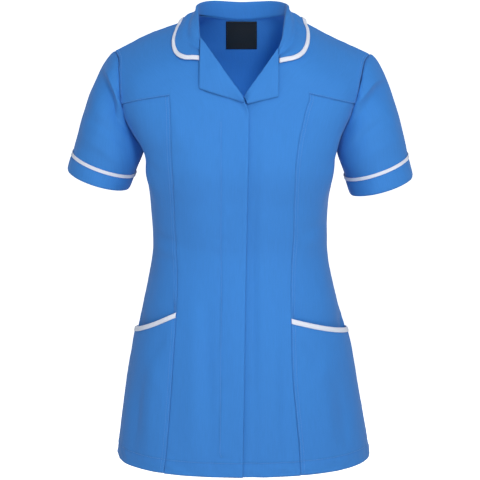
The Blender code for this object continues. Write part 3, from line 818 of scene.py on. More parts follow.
def grid_faces(rows, columns, flip, keep=None, ring=False):
    """Four-cornered faces between a grid's points."""
    row, place = np.meshgrid(np.arange(rows - 1), np.arange(columns if ring else columns - 1), indexing="ij")
    after = (place + 1) % columns
    upper = row * columns
    lower = upper + columns
    corners = [upper + place, lower + place, lower + after, upper + after]
    faces = np.stack(corners[::-1] if flip else corners, -1)
    return faces[keep] if keep is not None else faces.reshape(-1, 4)


def make_cloth(name, panel, material, thickness, keep=None, ring=False):
    """A piece of cloth: a thin wall behind a panel's points."""
    rows, columns = panel.points.shape[:2]
    faces = grid_faces(rows, columns, panel.flip, keep, ring)
    used, faces = np.unique(faces, return_inverse=True)
    faces = faces.reshape(-1, 4)
    piece = link(name, panel.points.reshape(-1, 3)[used], faces.tolist(), material)
    grain = np.stack([panel.across, panel.down, np.zeros_like(panel.down)], -1).reshape(-1, 3)[used] * MM
    piece.data.attributes.new("grain", "FLOAT_VECTOR", "POINT").data.foreach_set("vector", grain.ravel())
    piece.data.attributes.new("seam", "FLOAT", "POINT").data.foreach_set("value", panel.seam.ravel()[used])
    wall = piece.modifiers.new("Wall", "SOLIDIFY")
    wall.thickness = thickness * MM
    wall.offset = -1.0
    return piece


# Sections of one sewn thread: how far along the stitch, how high, and how thick, in shares
Thread = namedtuple("Thread", "along high thick")
THREAD = (
    Thread(-0.5, -0.9, 0.55),
    Thread(-0.36, 0.35, 0.95),
    Thread(0.0, 0.75, 1.0),
    Thread(0.36, 0.35, 0.95),
    Thread(0.5, -0.9, 0.55),
)
THREAD_SIDES = 5


def make_stitches(name, lines, material):
    """Rows of lockstitches along lines on the cloth, joined into one mesh."""
    cloth = bpy.context.scene.tunic_cloth
    pitch = cloth.stitch_pitch / MM
    radius = cloth.thread_width / MM / 2
    verts = []
    faces = []
    turns = np.arange(THREAD_SIDES) * 2 * math.pi / THREAD_SIDES
    count = 0
    for points, normals in lines:
        if len(points) < 2:
            continue
        run = run_along(points, 0)
        centres = np.arange(pitch / 2, run[-1] - pitch / 2, pitch)
        middle = np.stack([np.interp(centres, run, points[:, k]) for k in range(3)], -1)
        ahead = np.stack([np.interp(centres + pitch / 4, run, points[:, k]) for k in range(3)], -1)
        up = unit(np.stack([np.interp(centres, run, normals[:, k]) for k in range(3)], -1))
        way = unit(ahead - middle)
        beside = unit(np.cross(up, way))
        for section in THREAD:
            centre = middle + way * (section.along * pitch * STITCH_SHARE) + up * (section.high * radius)
            for turn in turns:
                ring = beside * math.cos(turn) + up * math.sin(turn)
                verts.append(centre + ring * (radius * section.thick))
        stitches = len(centres)
        total = len(THREAD) * THREAD_SIDES
        block = np.stack(verts[-total:], 1).reshape(-1, 3)
        del verts[-total:]
        verts.append(block)
        first = count + np.arange(stitches)[:, None] * total
        for k in range(len(THREAD) - 1):
            for side in range(THREAD_SIDES):
                after = (side + 1) % THREAD_SIDES
                low = k * THREAD_SIDES
                quad = [low + side, low + after, low + THREAD_SIDES + after, low + THREAD_SIDES + side]
                faces += (first + np.array(quad)).tolist()
        faces += (first + np.arange(THREAD_SIDES)[::-1]).tolist()
        faces += (first + total - THREAD_SIDES + np.arange(THREAD_SIDES)).tolist()
        count += stitches * total
    piece = link(name, np.concatenate(verts), faces, material)
    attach(piece, BODY)
    return piece


def place_piece(piece, node):
    """Hang a piece on the body, in place of its solid."""
    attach(piece, BODY)
    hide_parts(node)


def finish_cloth(piece, node, panel, keep=None):
    """Place a piece of cloth and work out the width and length of its cut."""
    place_piece(piece, node)
    area = panel.area(keep)
    widths = panel.across if keep is None else panel.across[:-1, :-1][keep]
    width = float(widths.max()) * MM
    length = float(panel.down.max()) * MM
    width = max(width, area / length)


# Shader node groups

def new_group(name, inputs, outputs):
    """An empty shader node group; inputs and outputs are (name, socket type, default)."""
    tree = bpy.data.node_groups.new(name, "ShaderNodeTree")
    for label, kind, value in inputs:
        socket = tree.interface.new_socket(name=label, in_out="INPUT", socket_type=kind)
        if value is not None:
            socket.default_value = value
    for label, kind in outputs:
        tree.interface.new_socket(name=label, in_out="OUTPUT", socket_type=kind)
    return tree, tree.nodes.new("NodeGroupInput"), tree.nodes.new("NodeGroupOutput")


def add_math(tree, operation, a, b=None):
    """A Math node on two sockets or numbers; returns its output."""
    node = tree.nodes.new("ShaderNodeMath")
    node.operation = operation
    for socket, value in zip(node.inputs, (a, b)):
        if isinstance(value, bpy.types.NodeSocket):
            tree.links.new(value, socket)
        elif value is not None:
            socket.default_value = value
    return node.outputs[0]


def add_mix(tree, share, a, b, blend="MIX"):
    """A colour Mix node; returns its colour output."""
    node = tree.nodes.new("ShaderNodeMix")
    node.data_type = "RGBA"
    node.blend_type = blend
    for socket, value in ((node.inputs[0], share), (node.inputs[6], a), (node.inputs[7], b)):
        if isinstance(value, bpy.types.NodeSocket):
            tree.links.new(value, socket)
        else:
            socket.default_value = value
    return node.outputs[2]


def add_noise(tree, vector, scale, detail):
    noise = tree.nodes.new("ShaderNodeTexNoise")
    noise.inputs["Scale"].default_value = scale
    noise.inputs["Detail"].default_value = detail
    tree.links.new(vector, noise.inputs["Vector"])
    return noise.outputs["Fac"]


def twill_group():
    """A twill weave: diagonal ribs of warp over weft, with uneven yarns."""
    tree, given, result = new_group(
        "Twill weave",
        [("Grain", "NodeSocketVector", None), ("Rib Spacing", "NodeSocketFloat", 0.0006),
         ("Warp Colour", "NodeSocketColor", None), ("Weft Colour", "NodeSocketColor", None),
         ("Yarn Contrast", "NodeSocketFloat", 0.5)],
        [("Color", "NodeSocketColor"), ("Height", "NodeSocketFloat"), ("Rib Mask", "NodeSocketFloat")])
    parts = tree.nodes.new("ShaderNodeSeparateXYZ")
    tree.links.new(given.outputs["Grain"], parts.inputs[0])
    across, down = parts.outputs[0], parts.outputs[1]
    turn = add_math(tree, "DIVIDE", 2 * math.pi, given.outputs["Rib Spacing"])
    diagonal = add_math(tree, "ADD", across, down)
    rib = add_math(tree, "SINE", add_math(tree, "MULTIPLY", diagonal, turn))
    weft = add_math(tree, "SINE", add_math(tree, "MULTIPLY", down, add_math(tree, "MULTIPLY", turn, 2.0)))
    slub = add_noise(tree, given.outputs["Grain"], 900.0, 2.0)
    stretch = tree.nodes.new("ShaderNodeVectorMath")
    stretch.operation = "MULTIPLY"
    stretch.inputs[1].default_value = (1.0, 0.07, 1.0)
    tree.links.new(given.outputs["Grain"], stretch.inputs[0])
    streak = add_noise(tree, stretch.outputs[0], 560.0, 3.0)
    height = add_math(tree, "MULTIPLY", rib, 0.35)
    height = add_math(tree, "ADD", height, add_math(tree, "MULTIPLY", weft, 0.15))
    height = add_math(tree, "ADD", height, add_math(tree, "MULTIPLY", slub, 0.5))
    mask = add_math(tree, "ADD", add_math(tree, "MULTIPLY", rib, 0.5), 0.5)
    uneven = add_math(tree, "MULTIPLY", mask, 0.3)
    uneven = add_math(tree, "ADD", uneven, add_math(tree, "MULTIPLY", streak, 0.9))
    contrast = add_math(tree, "MULTIPLY", uneven, given.outputs["Yarn Contrast"])
    colour = add_mix(tree, contrast, given.outputs["Warp Colour"], given.outputs["Weft Colour"])
    tree.links.new(colour, result.inputs["Color"])
    tree.links.new(height, result.inputs["Height"])
    tree.links.new(mask, result.inputs["Rib Mask"])
    return tree


def patch_and_seam_shade_group():
    """Broad pale and dark patches on cloth, and painted shade that darkens it beside seams and edges."""
    tree, given, result = new_group(
        "Patched cloth and painted seam shade",
        [("Color", "NodeSocketColor", None), ("Place", "NodeSocketVector", None),
         ("Patch Scale", "NodeSocketFloat", 14.0), ("Patch Amount", "NodeSocketFloat", 0.08),
         ("Seam", "NodeSocketFloat", 0.0), ("Seam Shade", "NodeSocketFloat", 0.2)],
        [("Color", "NodeSocketColor"), ("Patch Mask", "NodeSocketFloat"),
         ("Wrinkle Height", "NodeSocketFloat")])
    noise = tree.nodes.new("ShaderNodeTexNoise")
    noise.inputs["Detail"].default_value = 3.0
    tree.links.new(given.outputs["Place"], noise.inputs["Vector"])
    tree.links.new(given.outputs["Patch Scale"], noise.inputs["Scale"])
    patch = noise.outputs["Fac"]
    lighter = add_mix(tree, 0.35, given.outputs["Color"], (1.0, 1.0, 1.0, 1.0), "SOFT_LIGHT")
    share = add_math(tree, "MULTIPLY", patch, given.outputs["Patch Amount"])
    colour = add_mix(tree, share, given.outputs["Color"], lighter)
    fine = add_noise(tree, given.outputs["Place"], 130.0, 2.0)
    # Painted shade: beside seams and edges the colour is mixed toward black
    shade = add_math(tree, "MULTIPLY", given.outputs["Seam"], given.outputs["Seam Shade"])
    shade = add_math(tree, "MULTIPLY", shade, add_math(tree, "ADD", fine, 0.5))
    colour = add_mix(tree, shade, colour, (0.0, 0.0, 0.0, 1.0))
    broad = add_noise(tree, given.outputs["Place"], 34.0, 2.0)
    wrinkle = add_math(tree, "MULTIPLY", broad, 0.7)
    wrinkle = add_math(tree, "ADD", wrinkle, add_math(tree, "MULTIPLY", fine, 0.3))
    tree.links.new(colour, result.inputs["Color"])
    tree.links.new(patch, result.inputs["Patch Mask"])
    tree.links.new(wrinkle, result.inputs["Wrinkle Height"])
    return tree


def group_node(tree, group, name_of_group):
    node = tree.nodes.new("ShaderNodeGroup")
    node.node_tree = bpy.data.node_groups.get(name_of_group) or group()
    return node


def tinted(colour, amount):
    return tuple(min(c * amount, 1.0) for c in colour[:3]) + (1.0,)


def woven_material(name, colour, weave):
    """Woven cloth: a twill with uneven patches and painted seam shade on it."""
    found = bpy.data.materials.get(name)
    if found:
        return found
    material = bpy.data.materials.new(name)
    material.use_nodes = True
    tree = material.node_tree
    shader = tree.nodes["Principled BSDF"]
    shader.inputs["Metallic"].default_value = 0.0
    shader.inputs["Sheen Weight"].default_value = weave.sheen
    shader.inputs["Sheen Roughness"].default_value = 0.45
    shader.inputs["Specular IOR Level"].default_value = 0.2
    grain = tree.nodes.new("ShaderNodeAttribute")
    grain.attribute_name = "grain"
    seam = tree.nodes.new("ShaderNodeAttribute")
    seam.attribute_name = "seam"
    place = tree.nodes.new("ShaderNodeTexCoord")
    twill = group_node(tree, twill_group, "Twill weave")
    twill.inputs["Rib Spacing"].default_value = weave.rib * MM
    twill.inputs["Warp Colour"].default_value = tinted(colour, weave.warp)
    twill.inputs["Weft Colour"].default_value = tinted(colour, weave.weft)
    twill.inputs["Yarn Contrast"].default_value = weave.contrast
    tree.links.new(grain.outputs["Vector"], twill.inputs["Grain"])
    patched_shaded = group_node(tree, patch_and_seam_shade_group, "Patched cloth and painted seam shade")
    patched_shaded.inputs["Patch Amount"].default_value = weave.patch
    patched_shaded.inputs["Seam Shade"].default_value = weave.seam_shade
    tree.links.new(twill.outputs["Color"], patched_shaded.inputs["Color"])
    tree.links.new(place.outputs["Object"], patched_shaded.inputs["Place"])
    tree.links.new(seam.outputs["Fac"], patched_shaded.inputs["Seam"])
    tree.links.new(patched_shaded.outputs["Color"], shader.inputs["Base Color"])
    rough = tree.nodes.new("ShaderNodeMapRange")
    rough.inputs["To Min"].default_value = weave.roughness - 0.06
    rough.inputs["To Max"].default_value = weave.roughness + 0.06
    tree.links.new(patched_shaded.outputs["Patch Mask"], rough.inputs["Value"])
    tree.links.new(rough.outputs["Result"], shader.inputs["Roughness"])
    broad = tree.nodes.new("ShaderNodeBump")
    broad.inputs["Distance"].default_value = weave.wrinkle * MM
    tree.links.new(patched_shaded.outputs["Wrinkle Height"], broad.inputs["Height"])
    fine = tree.nodes.new("ShaderNodeBump")
    fine.inputs["Distance"].default_value = weave.height * MM
    tree.links.new(twill.outputs["Height"], fine.inputs["Height"])
    tree.links.new(broad.outputs["Normal"], fine.inputs["Normal"])
    tree.links.new(fine.outputs["Normal"], shader.inputs["Normal"])
    return material


def blue_cloth():
    return woven_material("blue_polycotton", bpy.context.scene.tunic_cloth.blue, CLOTH_WEAVE)


def white_tape():
    return woven_material("white_twill_tape", bpy.context.scene.tunic_cloth.white, TAPE_WEAVE)


def black_satin():
    return woven_material("black_woven_label", bpy.context.scene.tunic_cloth.label, LABEL_WEAVE)


def thread_material(name, colour):
    """Sewing thread: the plies show as a fine ripple along it."""
    found = bpy.data.materials.get(name)
    if found:
        return found
    material = bpy.data.materials.new(name)
    material.use_nodes = True
    tree = material.node_tree
    shader = tree.nodes["Principled BSDF"]
    shader.inputs["Sheen Weight"].default_value = 0.2
    shader.inputs["Roughness"].default_value = 0.55
    place = tree.nodes.new("ShaderNodeTexCoord")
    plies = add_noise(tree, place.outputs["Object"], 2600.0, 1.0)
    shade = add_mix(tree, plies, tinted(colour, 0.86), tinted(colour, 1.08))
    tree.links.new(shade, shader.inputs["Base Color"])
    bump = tree.nodes.new("ShaderNodeBump")
    bump.inputs["Distance"].default_value = 0.05 * MM
    tree.links.new(plies, bump.inputs["Height"])
    tree.links.new(bump.outputs["Normal"], shader.inputs["Normal"])
    return material


def blue_thread():
    return thread_material("blue_thread", bpy.context.scene.tunic_cloth.blue_thread)


def white_thread():
    return thread_material("white_thread", bpy.context.scene.tunic_cloth.white)


# The body's panels

def lower_shares(side):
    """Rows from the underarm to the hem, down a line at the front."""
    cell = bpy.context.scene.tunic_cloth.cell / MM
    rows = graded(lambda share: lower_point(side, np.full_like(share, 0.5 * side), share), cell,
                  near_end=(0.0, HEM_ALLOWANCE))
    return rows[1:]


def front_points(side, columns_of, upper, lower):
    """Points of a front's rows; columns_of gives the x of each column at a row's two levels."""
    rows = []
    for share in upper:
        xs = columns_of(share, None)
        rows.append(upper_point(side, xs, share))
    for share in lower:
        level = mix(UNDERARM[side], HEM_SIDE, share)
        xs = columns_of(None, level)
        rows.append(lower_point(side, angle_at(xs, level), share))
    return np.stack(rows)


def front_panel(side):
    """A front with its shoulder yoke, and which of its cells are cloth."""
    cell = bpy.context.scene.tunic_cloth.cell / MM
    name = side_name(side)
    chest = side * CHEST_EASE_X
    upper = graded(lambda share: upper_point(side, np.full_like(share, chest), share), cell, (0.0,))
    yoke_row = int(np.argmin(np.abs(upper - YOKE_SHARE)))
    upper[yoke_row] = YOKE_SHARE
    fine_from = yoke_row - YOKE_COARSE_ROWS
    fine = np.linspace(upper[fine_from], YOKE_SHARE, YOKE_FINE_ROWS)
    upper = np.concatenate([upper[:fine_from], fine, upper[yoke_row + 1:]])
    yoke_row = int(np.argmin(np.abs(upper - YOKE_SHARE)))
    lower = lower_shares(side)
    level = mix(UNDERARM[side], HEM_SIDE, 0.5)
    ends = (read_straight(FRONT_EDGES, name, level), read_smooth(PRINCESS, name, level))
    main = graded(lambda share: body_point(angle_at(mix(ends[0], ends[1], share), level), level + 0 * share),
                  cell, near_start=(0.0,), near_end=(0.0,))
    yoke = graded(lambda share: np.stack([share * YOKE_WIDTH, 0 * share, 0 * share], -1), cell,
                  near_start=(0.0,), near_end=(0.0, 6.0))

    def columns_of(share, height):
        if height is None:
            edge = read_straight(FRONT_EDGES, name, mix(shoulder_height(0.0), UNDERARM[side], share))
            seam = read_smooth(PRINCESS, name, mix(shoulder_height(chest), UNDERARM[side], share))
            outer = armhole_x(side, share)
        else:
            edge = read_straight(FRONT_EDGES, name, height)
            seam = read_smooth(PRINCESS, name, height)
            outer = seam + side * HIDDEN_WIDTH
        return np.concatenate([mix(edge, seam, main), mix(seam, outer, yoke[1:])])

    panel = Panel(front_points(side, columns_of, upper, lower), flip=side < 0)
    seam_column = len(main) - 1
    keep = np.ones((len(panel.points) - 1, len(panel.points[0]) - 1), bool)
    keep[yoke_row:, seam_column:] = False
    return panel, keep, seam_column, yoke_row, len(upper) - 1


def underlap(panel):
    """The left front passes under the right one, so its edge lies deeper."""
    share = (UNDERLAP_ENDS_AT - panel.points[..., 0]) / (UNDERLAP_ENDS_AT - UNDERLAP_FULL_AT)
    panel.points[..., 1] += UNDERLAP_SINK * smooth_step(share)
    panel.find_normals()


def add_front(side):
    panel, keep, seam_column, yoke_row, last_upper = front_panel(side)
    base = panel.points
    if side == LEFT:
        underlap(panel)
    to_seam = np.abs(panel.across - panel.across[:, [seam_column]])
    below_yoke = np.arange(len(base))[:, None] > yoke_row
    to_princess = np.where(below_yoke | (panel.across < panel.across[:, [seam_column]]), to_seam, FAR)
    to_princess[:yoke_row - PRINCESS_ROWS_ABOVE_YOKE] = FAR
    to_hem = panel.down[-1] - panel.down
    to_shoulder = panel.down
    to_yoke = np.abs(panel.down - panel.down[yoke_row])
    in_yoke = np.arange(base.shape[1])[None, :] >= seam_column
    to_yoke = np.where(in_yoke, to_yoke, FAR)
    to_armhole = np.abs(panel.across[:, [-1]] - panel.across)
    to_armhole = np.where(below_yoke, FAR, to_armhole)
    to_edge = panel.across
    relief = body_relief(base) + fullness(base)
    relief += seam_relief(base, to_princess, ()) * PRINCESS_DEPTH
    relief += seam_relief(base, to_yoke, (YOKE_ROW,))
    relief += seam_relief(base, to_armhole, ARMHOLE_ROWS)
    relief += seam_relief(base, to_shoulder, ())
    relief += hem_relief(base, to_hem)
    relief -= OVERLAP_EDGE_DIP * np.exp(-(to_edge / 1.2) ** 2)
    placket = read_straight(PLACKET, "x", base[..., 2].mean(axis=1))
    lines = []
    if side == RIGHT:
        stitched = (base[:, 0, 2] < PLACKET[-1].height) & (base[:, 0, 2] > PLACKET[0].height)
        to_placket = np.abs(base[..., 0] - placket[:, None])
        near = np.where(stitched[:, None], to_placket, FAR)
        relief -= SEAM_DIP * np.exp(-(near / 1.1) ** 2)
        relief += waves(base, PLACKET_WAVES) * np.exp(-(near / 9.0) ** 2)
        corner = np.exp(-((base[..., 2] - CORNER_ROLL_HEIGHT) / CORNER_ROLL_LENGTH) ** 2)
        relief += CORNER_ROLL * np.exp(-(to_edge / CORNER_ROLL_WIDTH) ** 2) * corner
        stand = OVERLAP_STAND * smooth_step((OVERLAP_STAND_FROM - base[..., 2]) / 60)
        stand *= mix(0.3, 1.0, smooth_step((base[..., 2] - HEM_FRONT) / 90))
        relief += stand * np.exp(-(to_edge / OVERLAP_STAND_WIDTH) ** 2)
    panel.lift(relief)
    panel.shade_seam(np.minimum(to_yoke, np.minimum(to_armhole, to_shoulder)))
    panel.shade_seam(to_princess, strength=PRINCESS_SHADE)
    panel.shade_seam(np.abs(to_hem - HEM_ALLOWANCE), ROW_SHADE_REACH)
    if side == RIGHT:
        panel.shade_seam(near, ROW_SHADE_REACH)
        rows = np.nonzero(stitched)[0]
        lines.append(line_down(panel, -base[..., 0], -placket, slice(rows[0], rows[-1] + 1)))
    lines.append(line_across(panel, to_hem, HEM_ALLOWANCE, slice(0, seam_column + 1)))
    yoke_rows = slice(0, yoke_row + 1)
    for row in ARMHOLE_ROWS:
        lines.append(line_down(panel, panel.across - panel.across[:, [-1]], -row, yoke_rows))
    lines.append(line_across(panel, panel.down - panel.down[yoke_row], -YOKE_ROW, slice(seam_column, None)))
    name = side_name(side) + "_front"
    thickness = bpy.context.scene.tunic_cloth.thickness / MM
    piece = make_cloth(name + "_cloth", panel, blue_cloth(), thickness, keep)
    stitches = make_stitches(name + "_stitches", lines, blue_thread())
    finish_cloth(piece, name, panel, keep)


def side_front_panel(side):
    """The panel between the princess seam and the side seam, up to the shoulder yoke."""
    cell = bpy.context.scene.tunic_cloth.cell / MM
    name = side_name(side)
    chest = side * CHEST_EASE_X

    def line_down_chest(share):
        return upper_point(side, np.full_like(share, chest), mix(YOKE_SHARE, 1.0, share))

    upper = mix(YOKE_SHARE, 1.0, graded(line_down_chest, cell, near_start=(0.0,)))
    level = mix(UNDERARM[side], HEM_SIDE, 0.5)
    inner = angle_at(read_smooth(PRINCESS, name, level), level)
    columns = graded(lambda share: body_point(mix(inner, side * math.pi / 2, share), level + 0 * share), cell,
                     near_start=(0.0, SECOND_ROW), near_end=(0.0, ARMHOLE_ROWS[-1]))
    rows = []
    for share in upper:
        seam_x = read_smooth(PRINCESS, name, mix(shoulder_height(chest), UNDERARM[side], share))
        outer_x = armhole_x(side, share)
        heights = [mix(shoulder_height(x), UNDERARM[side], share) for x in (seam_x, outer_x)]
        angles = mix(angle_at(seam_x, heights[0]), angle_at(outer_x, heights[1]), columns)
        xs = body_point(angles, mix(heights[0], heights[1], columns))[:, 0]
        rows.append(upper_point(side, xs, share))
    for share in lower_shares(side):
        level = mix(UNDERARM[side], HEM_SIDE, share)
        angles = mix(angle_at(read_smooth(PRINCESS, name, level), level), side * math.pi / 2, columns)
        rows.append(lower_point(side, angles, share))
    return Panel(np.stack(rows), flip=side < 0), len(upper) - 1


def mouth_sink(side, points, to_princess, to_side):
    """How far the cloth behind a pocket's mouth sinks in, which shades it above the mouth."""
    mouth = pocket_mouth(side, to_princess / (to_princess + to_side))
    above = smooth_step((mouth + MOUTH_SINK_ABOVE - points[..., 2]) / MOUTH_SINK_ABOVE)
    below = 1 - smooth_step((mouth - points[..., 2]) / MOUTH_SINK_BELOW)
    return MOUTH_SINK * above * below * smooth_step(to_princess / 9) * smooth_step(to_side / 24)


def add_side_front(side):
    panel, underarm_row = side_front_panel(side)
    base = panel.points
    to_princess = panel.across
    to_side = panel.across[:, [-1]] - panel.across
    above = np.arange(len(base))[:, None] <= underarm_row
    to_hem = panel.down[-1] - panel.down
    relief = body_relief(base)
    relief += seam_relief(base, to_princess, (EDGE_ROW, SECOND_ROW)) * PRINCESS_DEPTH
    relief += np.where(above, seam_relief(base, to_side, ARMHOLE_ROWS), seam_relief(base, to_side, ()))
    relief += seam_relief(base, panel.down, ())
    relief += hem_relief(base, to_hem)
    beside_armhole = np.where(above, smooth_step(to_side / 16), 1.0)
    relief += fullness(base) * beside_armhole * smooth_step(to_side / 6 + 0.2)
    relief -= mouth_sink(side, base, to_princess, to_side)
    mouth = pocket_mouth(side, to_princess / (to_princess + to_side))
    under_pocket = smooth_step((mouth - 2 - base[..., 2]) / 6)
    relief -= UNDER_POCKET_SINK * under_pocket * (1 - smooth_step(to_princess / POCKET_SEAM_REACH))
    panel.lift(relief)
    panel.shade_seam(np.minimum(to_side, panel.down))
    panel.shade_seam(to_princess, strength=PRINCESS_SHADE)
    panel.shade_seam(np.abs(to_hem - HEM_ALLOWANCE), ROW_SHADE_REACH)
    lines = [line_down(panel, to_princess, row) for row in (EDGE_ROW, SECOND_ROW)]
    for row in ARMHOLE_ROWS:
        lines.append(line_down(panel, -to_side, -row, slice(0, underarm_row + 1)))
    lines.append(line_across(panel, to_hem, HEM_ALLOWANCE))
    name = side_name(side) + "_side_front"
    thickness = bpy.context.scene.tunic_cloth.thickness / MM
    piece = make_cloth(name + "_cloth", panel, blue_cloth(), thickness)
    stitches = make_stitches(name + "_stitches", lines, blue_thread())
    finish_cloth(piece, name, panel)


BACK_NECK_SHARE = 0.42


def back_half(side, upper, lower, turns):
    """Half of the back, each row from its middle out to the armhole or the side seam."""
    neck_share = NECK_HALF_WIDTH / SHOULDER_TIP[side]
    neck_turn = BACK_NECK_SHARE * math.pi / 2
    in_neck = turns < neck_turn
    beyond = (turns - neck_turn) / (math.pi / 2 - neck_turn)
    shoulder = mix(neck_share, 1.0, np.clip(beyond, 0, 1))
    top_share = np.where(in_neck, np.sin(turns / BACK_NECK_SHARE) * neck_share, shoulder)
    even_share = np.sin(turns) ** (2 / SQUARENESS)
    rows = []
    for share in upper:
        xs = armhole_x(side, share) * mix(top_share, even_share, share)
        rows.append(upper_point(side, xs, share, behind=True))
    for share in lower:
        rows.append(lower_point(side, side * (math.pi - turns), share))
    return np.stack(rows)


def add_back():
    cell = bpy.context.scene.tunic_cloth.cell / MM
    upper = graded(lambda share: upper_point(RIGHT, np.full_like(share, -90.0), share, True), cell, (0.0,))
    lower = lower_shares(RIGHT)
    level = mix(UNDERARM[RIGHT], HEM_SIDE, 0.5)
    turns = graded(lambda share: body_point(math.pi * (1 + share / 2), level + 0 * share), cell,
                   near_end=(0.0, ARMHOLE_ROWS[-1])) * math.pi / 2
    halves = [back_half(side, upper, lower, turns) for side in (LEFT, RIGHT)]
    points = np.concatenate([halves[0][:, ::-1], halves[1][:, 1:]], axis=1)[:, ::-1]
    panel = Panel(points, flip=True)
    to_right = panel.across
    to_left = panel.across[:, [-1]] - panel.across
    above = np.arange(len(points))[:, None] < len(upper)
    to_hem = panel.down[-1] - panel.down
    relief = body_relief(points)
    for distance in (to_right, to_left):
        armhole = seam_relief(points, distance, ARMHOLE_ROWS)
        relief += np.where(above, armhole, seam_relief(points, distance, ()))
        panel.shade_seam(distance)
    relief += seam_relief(points, panel.down, ())
    relief += hem_relief(points, to_hem)
    panel.lift(relief)
    panel.shade_seam(panel.down)
    panel.shade_seam(np.abs(to_hem - HEM_ALLOWANCE), ROW_SHADE_REACH)
    lines = [line_across(panel, to_hem, HEM_ALLOWANCE)]
    for row in ARMHOLE_ROWS:
        lines.append(line_down(panel, to_right, row, slice(0, len(upper))))
        lines.append(line_down(panel, -to_left, -row, slice(0, len(upper))))
    thickness = bpy.context.scene.tunic_cloth.thickness / MM
    piece = make_cloth("back_cloth", panel, blue_cloth(), thickness)
    stitches = make_stitches("back_stitches", lines, blue_thread())
    finish_cloth(piece, "back", panel)


# The sleeves

def armhole_point(side, turn):
    """Points of the armhole seam: turn 0 is the shoulder tip, a quarter turn is in front."""
    share = (1 - np.cos(turn)) / 2
    return upper_point(side, armhole_x(side, share), share, behind=np.sin(turn) < 0)


def ring_point(side, ring, turn):
    """Points of a cuff's ring, with the same turns as the armhole."""
    outer = np.array([side * ring.outer_x, 0.0, ring.outer_z])
    inner = np.array([side * ring.inner_x, 0.0, ring.inner_z])
    face = np.array([0.0, -SLEEVE_HALF_DEPTH, -SLEEVE_FRONT_DROP])
    turn = np.asarray(turn)[..., None]
    return (outer + inner) / 2 + (outer - inner) / 2 * np.cos(turn) + face * np.sin(turn)


def ring_outward(side, ring, turn):
    across = unit(np.array([side * (ring.outer_x - ring.inner_x), 0.0, ring.outer_z - ring.inner_z]))
    turn = np.asarray(turn)[..., None]
    return across * np.cos(turn) + np.array([0.0, -1.0, 0.0]) * np.sin(turn)


def sleeve_point(side, share, turn):
    """Points of the sleeve, a share of the way from the armhole to the cuff seam."""
    seam = CUFF_SEAM[side]
    share = np.asarray(share)
    point = mix(armhole_point(side, turn), ring_point(side, seam, turn), share[..., None])
    above = np.maximum(np.cos(turn), 0.0) ** SLEEVE_FULLNESS_POWER
    facing = np.abs(np.sin(turn)) ** SLEEVE_FULLNESS_POWER
    full = SLEEVE_CAP_FULLNESS * above + SLEEVE_FACE_FULLNESS * facing * (1 - above)
    full = full + SLEEVE_SQUARENESS * np.sin(2 * turn) ** 2
    rise = full * np.sqrt(share) * (1 - share)
    return point + ring_outward(side, seam, turn) * rise[..., None]


def drape_relief(side, degrees, distance):
    """The drape fold: flat cloth beside the seam, a crisp edge, then a trough that slowly fills."""
    name = side_name(side)
    in_front = degrees <= 180
    turned = np.where(in_front, degrees, 360 - degrees)
    edge = read_smooth(DRAPE, name + "_edge", turned)
    depth = read_smooth(DRAPE, name + "_depth", turned) * np.where(in_front, 1.0, DRAPE_BEHIND)
    past = distance - edge
    fall = np.sin(np.clip(past / DRAPE_FALL, 0, 1) * math.pi / 2)
    filled = np.exp(-(np.maximum(past - DRAPE_FALL / 2, 0) / DRAPE_RETURN) ** 2)
    lip = DRAPE_LIP * np.exp(-((past + DRAPE_LIP_WIDTH / 2) / DRAPE_LIP_WIDTH) ** 2)
    return depth * (lip - fall * filled)


def add_sleeve(side):
    cell = bpy.context.scene.tunic_cloth.cell / MM
    name = side_name(side)
    shares = graded(lambda share: sleeve_point(side, share, np.full_like(share, math.pi / 2)), cell * 0.7,
                    near_start=(0.0, 14.0, 26.0), near_end=(0.0,))
    count = int(round(2 * math.pi * 62 / cell * 1.15))
    turns = np.arange(count) * 2 * math.pi / count
    share, turn = np.meshgrid(shares, turns, indexing="ij")
    points = sleeve_point(side, share, turn)
    panel = Panel(points, flip=side > 0)
    wrapped = np.concatenate([points[:, -1:], points, points[:, :1]], axis=1)
    edges = Panel(wrapped, flip=side > 0)
    panel.normals = edges.normals[:, 1:-1]
    to_cuff = panel.down[-1] - panel.down
    full = smooth_step(to_cuff / 25.0)
    relief = drape_relief(side, np.degrees(turn), panel.down) * full
    weight = smooth_step(-points[..., 1] / 20 + 0.5)
    weight = weight + 0.8 * (1 - weight)
    relief += fold_relief(points, SLEEVE_FOLDS[side]) * weight * smooth_step(panel.down / 16)
    pucker = waves(points, SLEEVE_SEAM_WAVES) * np.exp(-(panel.down / 6) ** 2)
    relief += waves(points, SLEEVE_WAVES) + pucker
    relief -= 0.25 * np.exp(-(panel.down / 1.1) ** 2)
    relief *= smooth_step(to_cuff / 5.0 + 0.15)
    panel.points = points + panel.normals * relief[..., None]
    panel.shade_seam(panel.down)
    panel.shade_seam(to_cuff)
    thickness = bpy.context.scene.tunic_cloth.thickness / MM
    piece = make_cloth(name + "_sleeve_cloth", panel, blue_cloth(), thickness, ring=True)
    finish_cloth(piece, name + "_sleeve", panel)


def cuff_points(side, share, turn, out=0.0):
    """Points of the turned-up band below the tape; share 1 is its hem."""
    seam = ring_point(side, CUFF_SEAM[side], turn)
    hem = ring_point(side, CUFF_HEM[side], turn)
    outward = ring_outward(side, CUFF_SEAM[side], turn)
    return mix(seam, hem, np.asarray(share)[..., None]) + outward * np.asarray(out)[..., None]


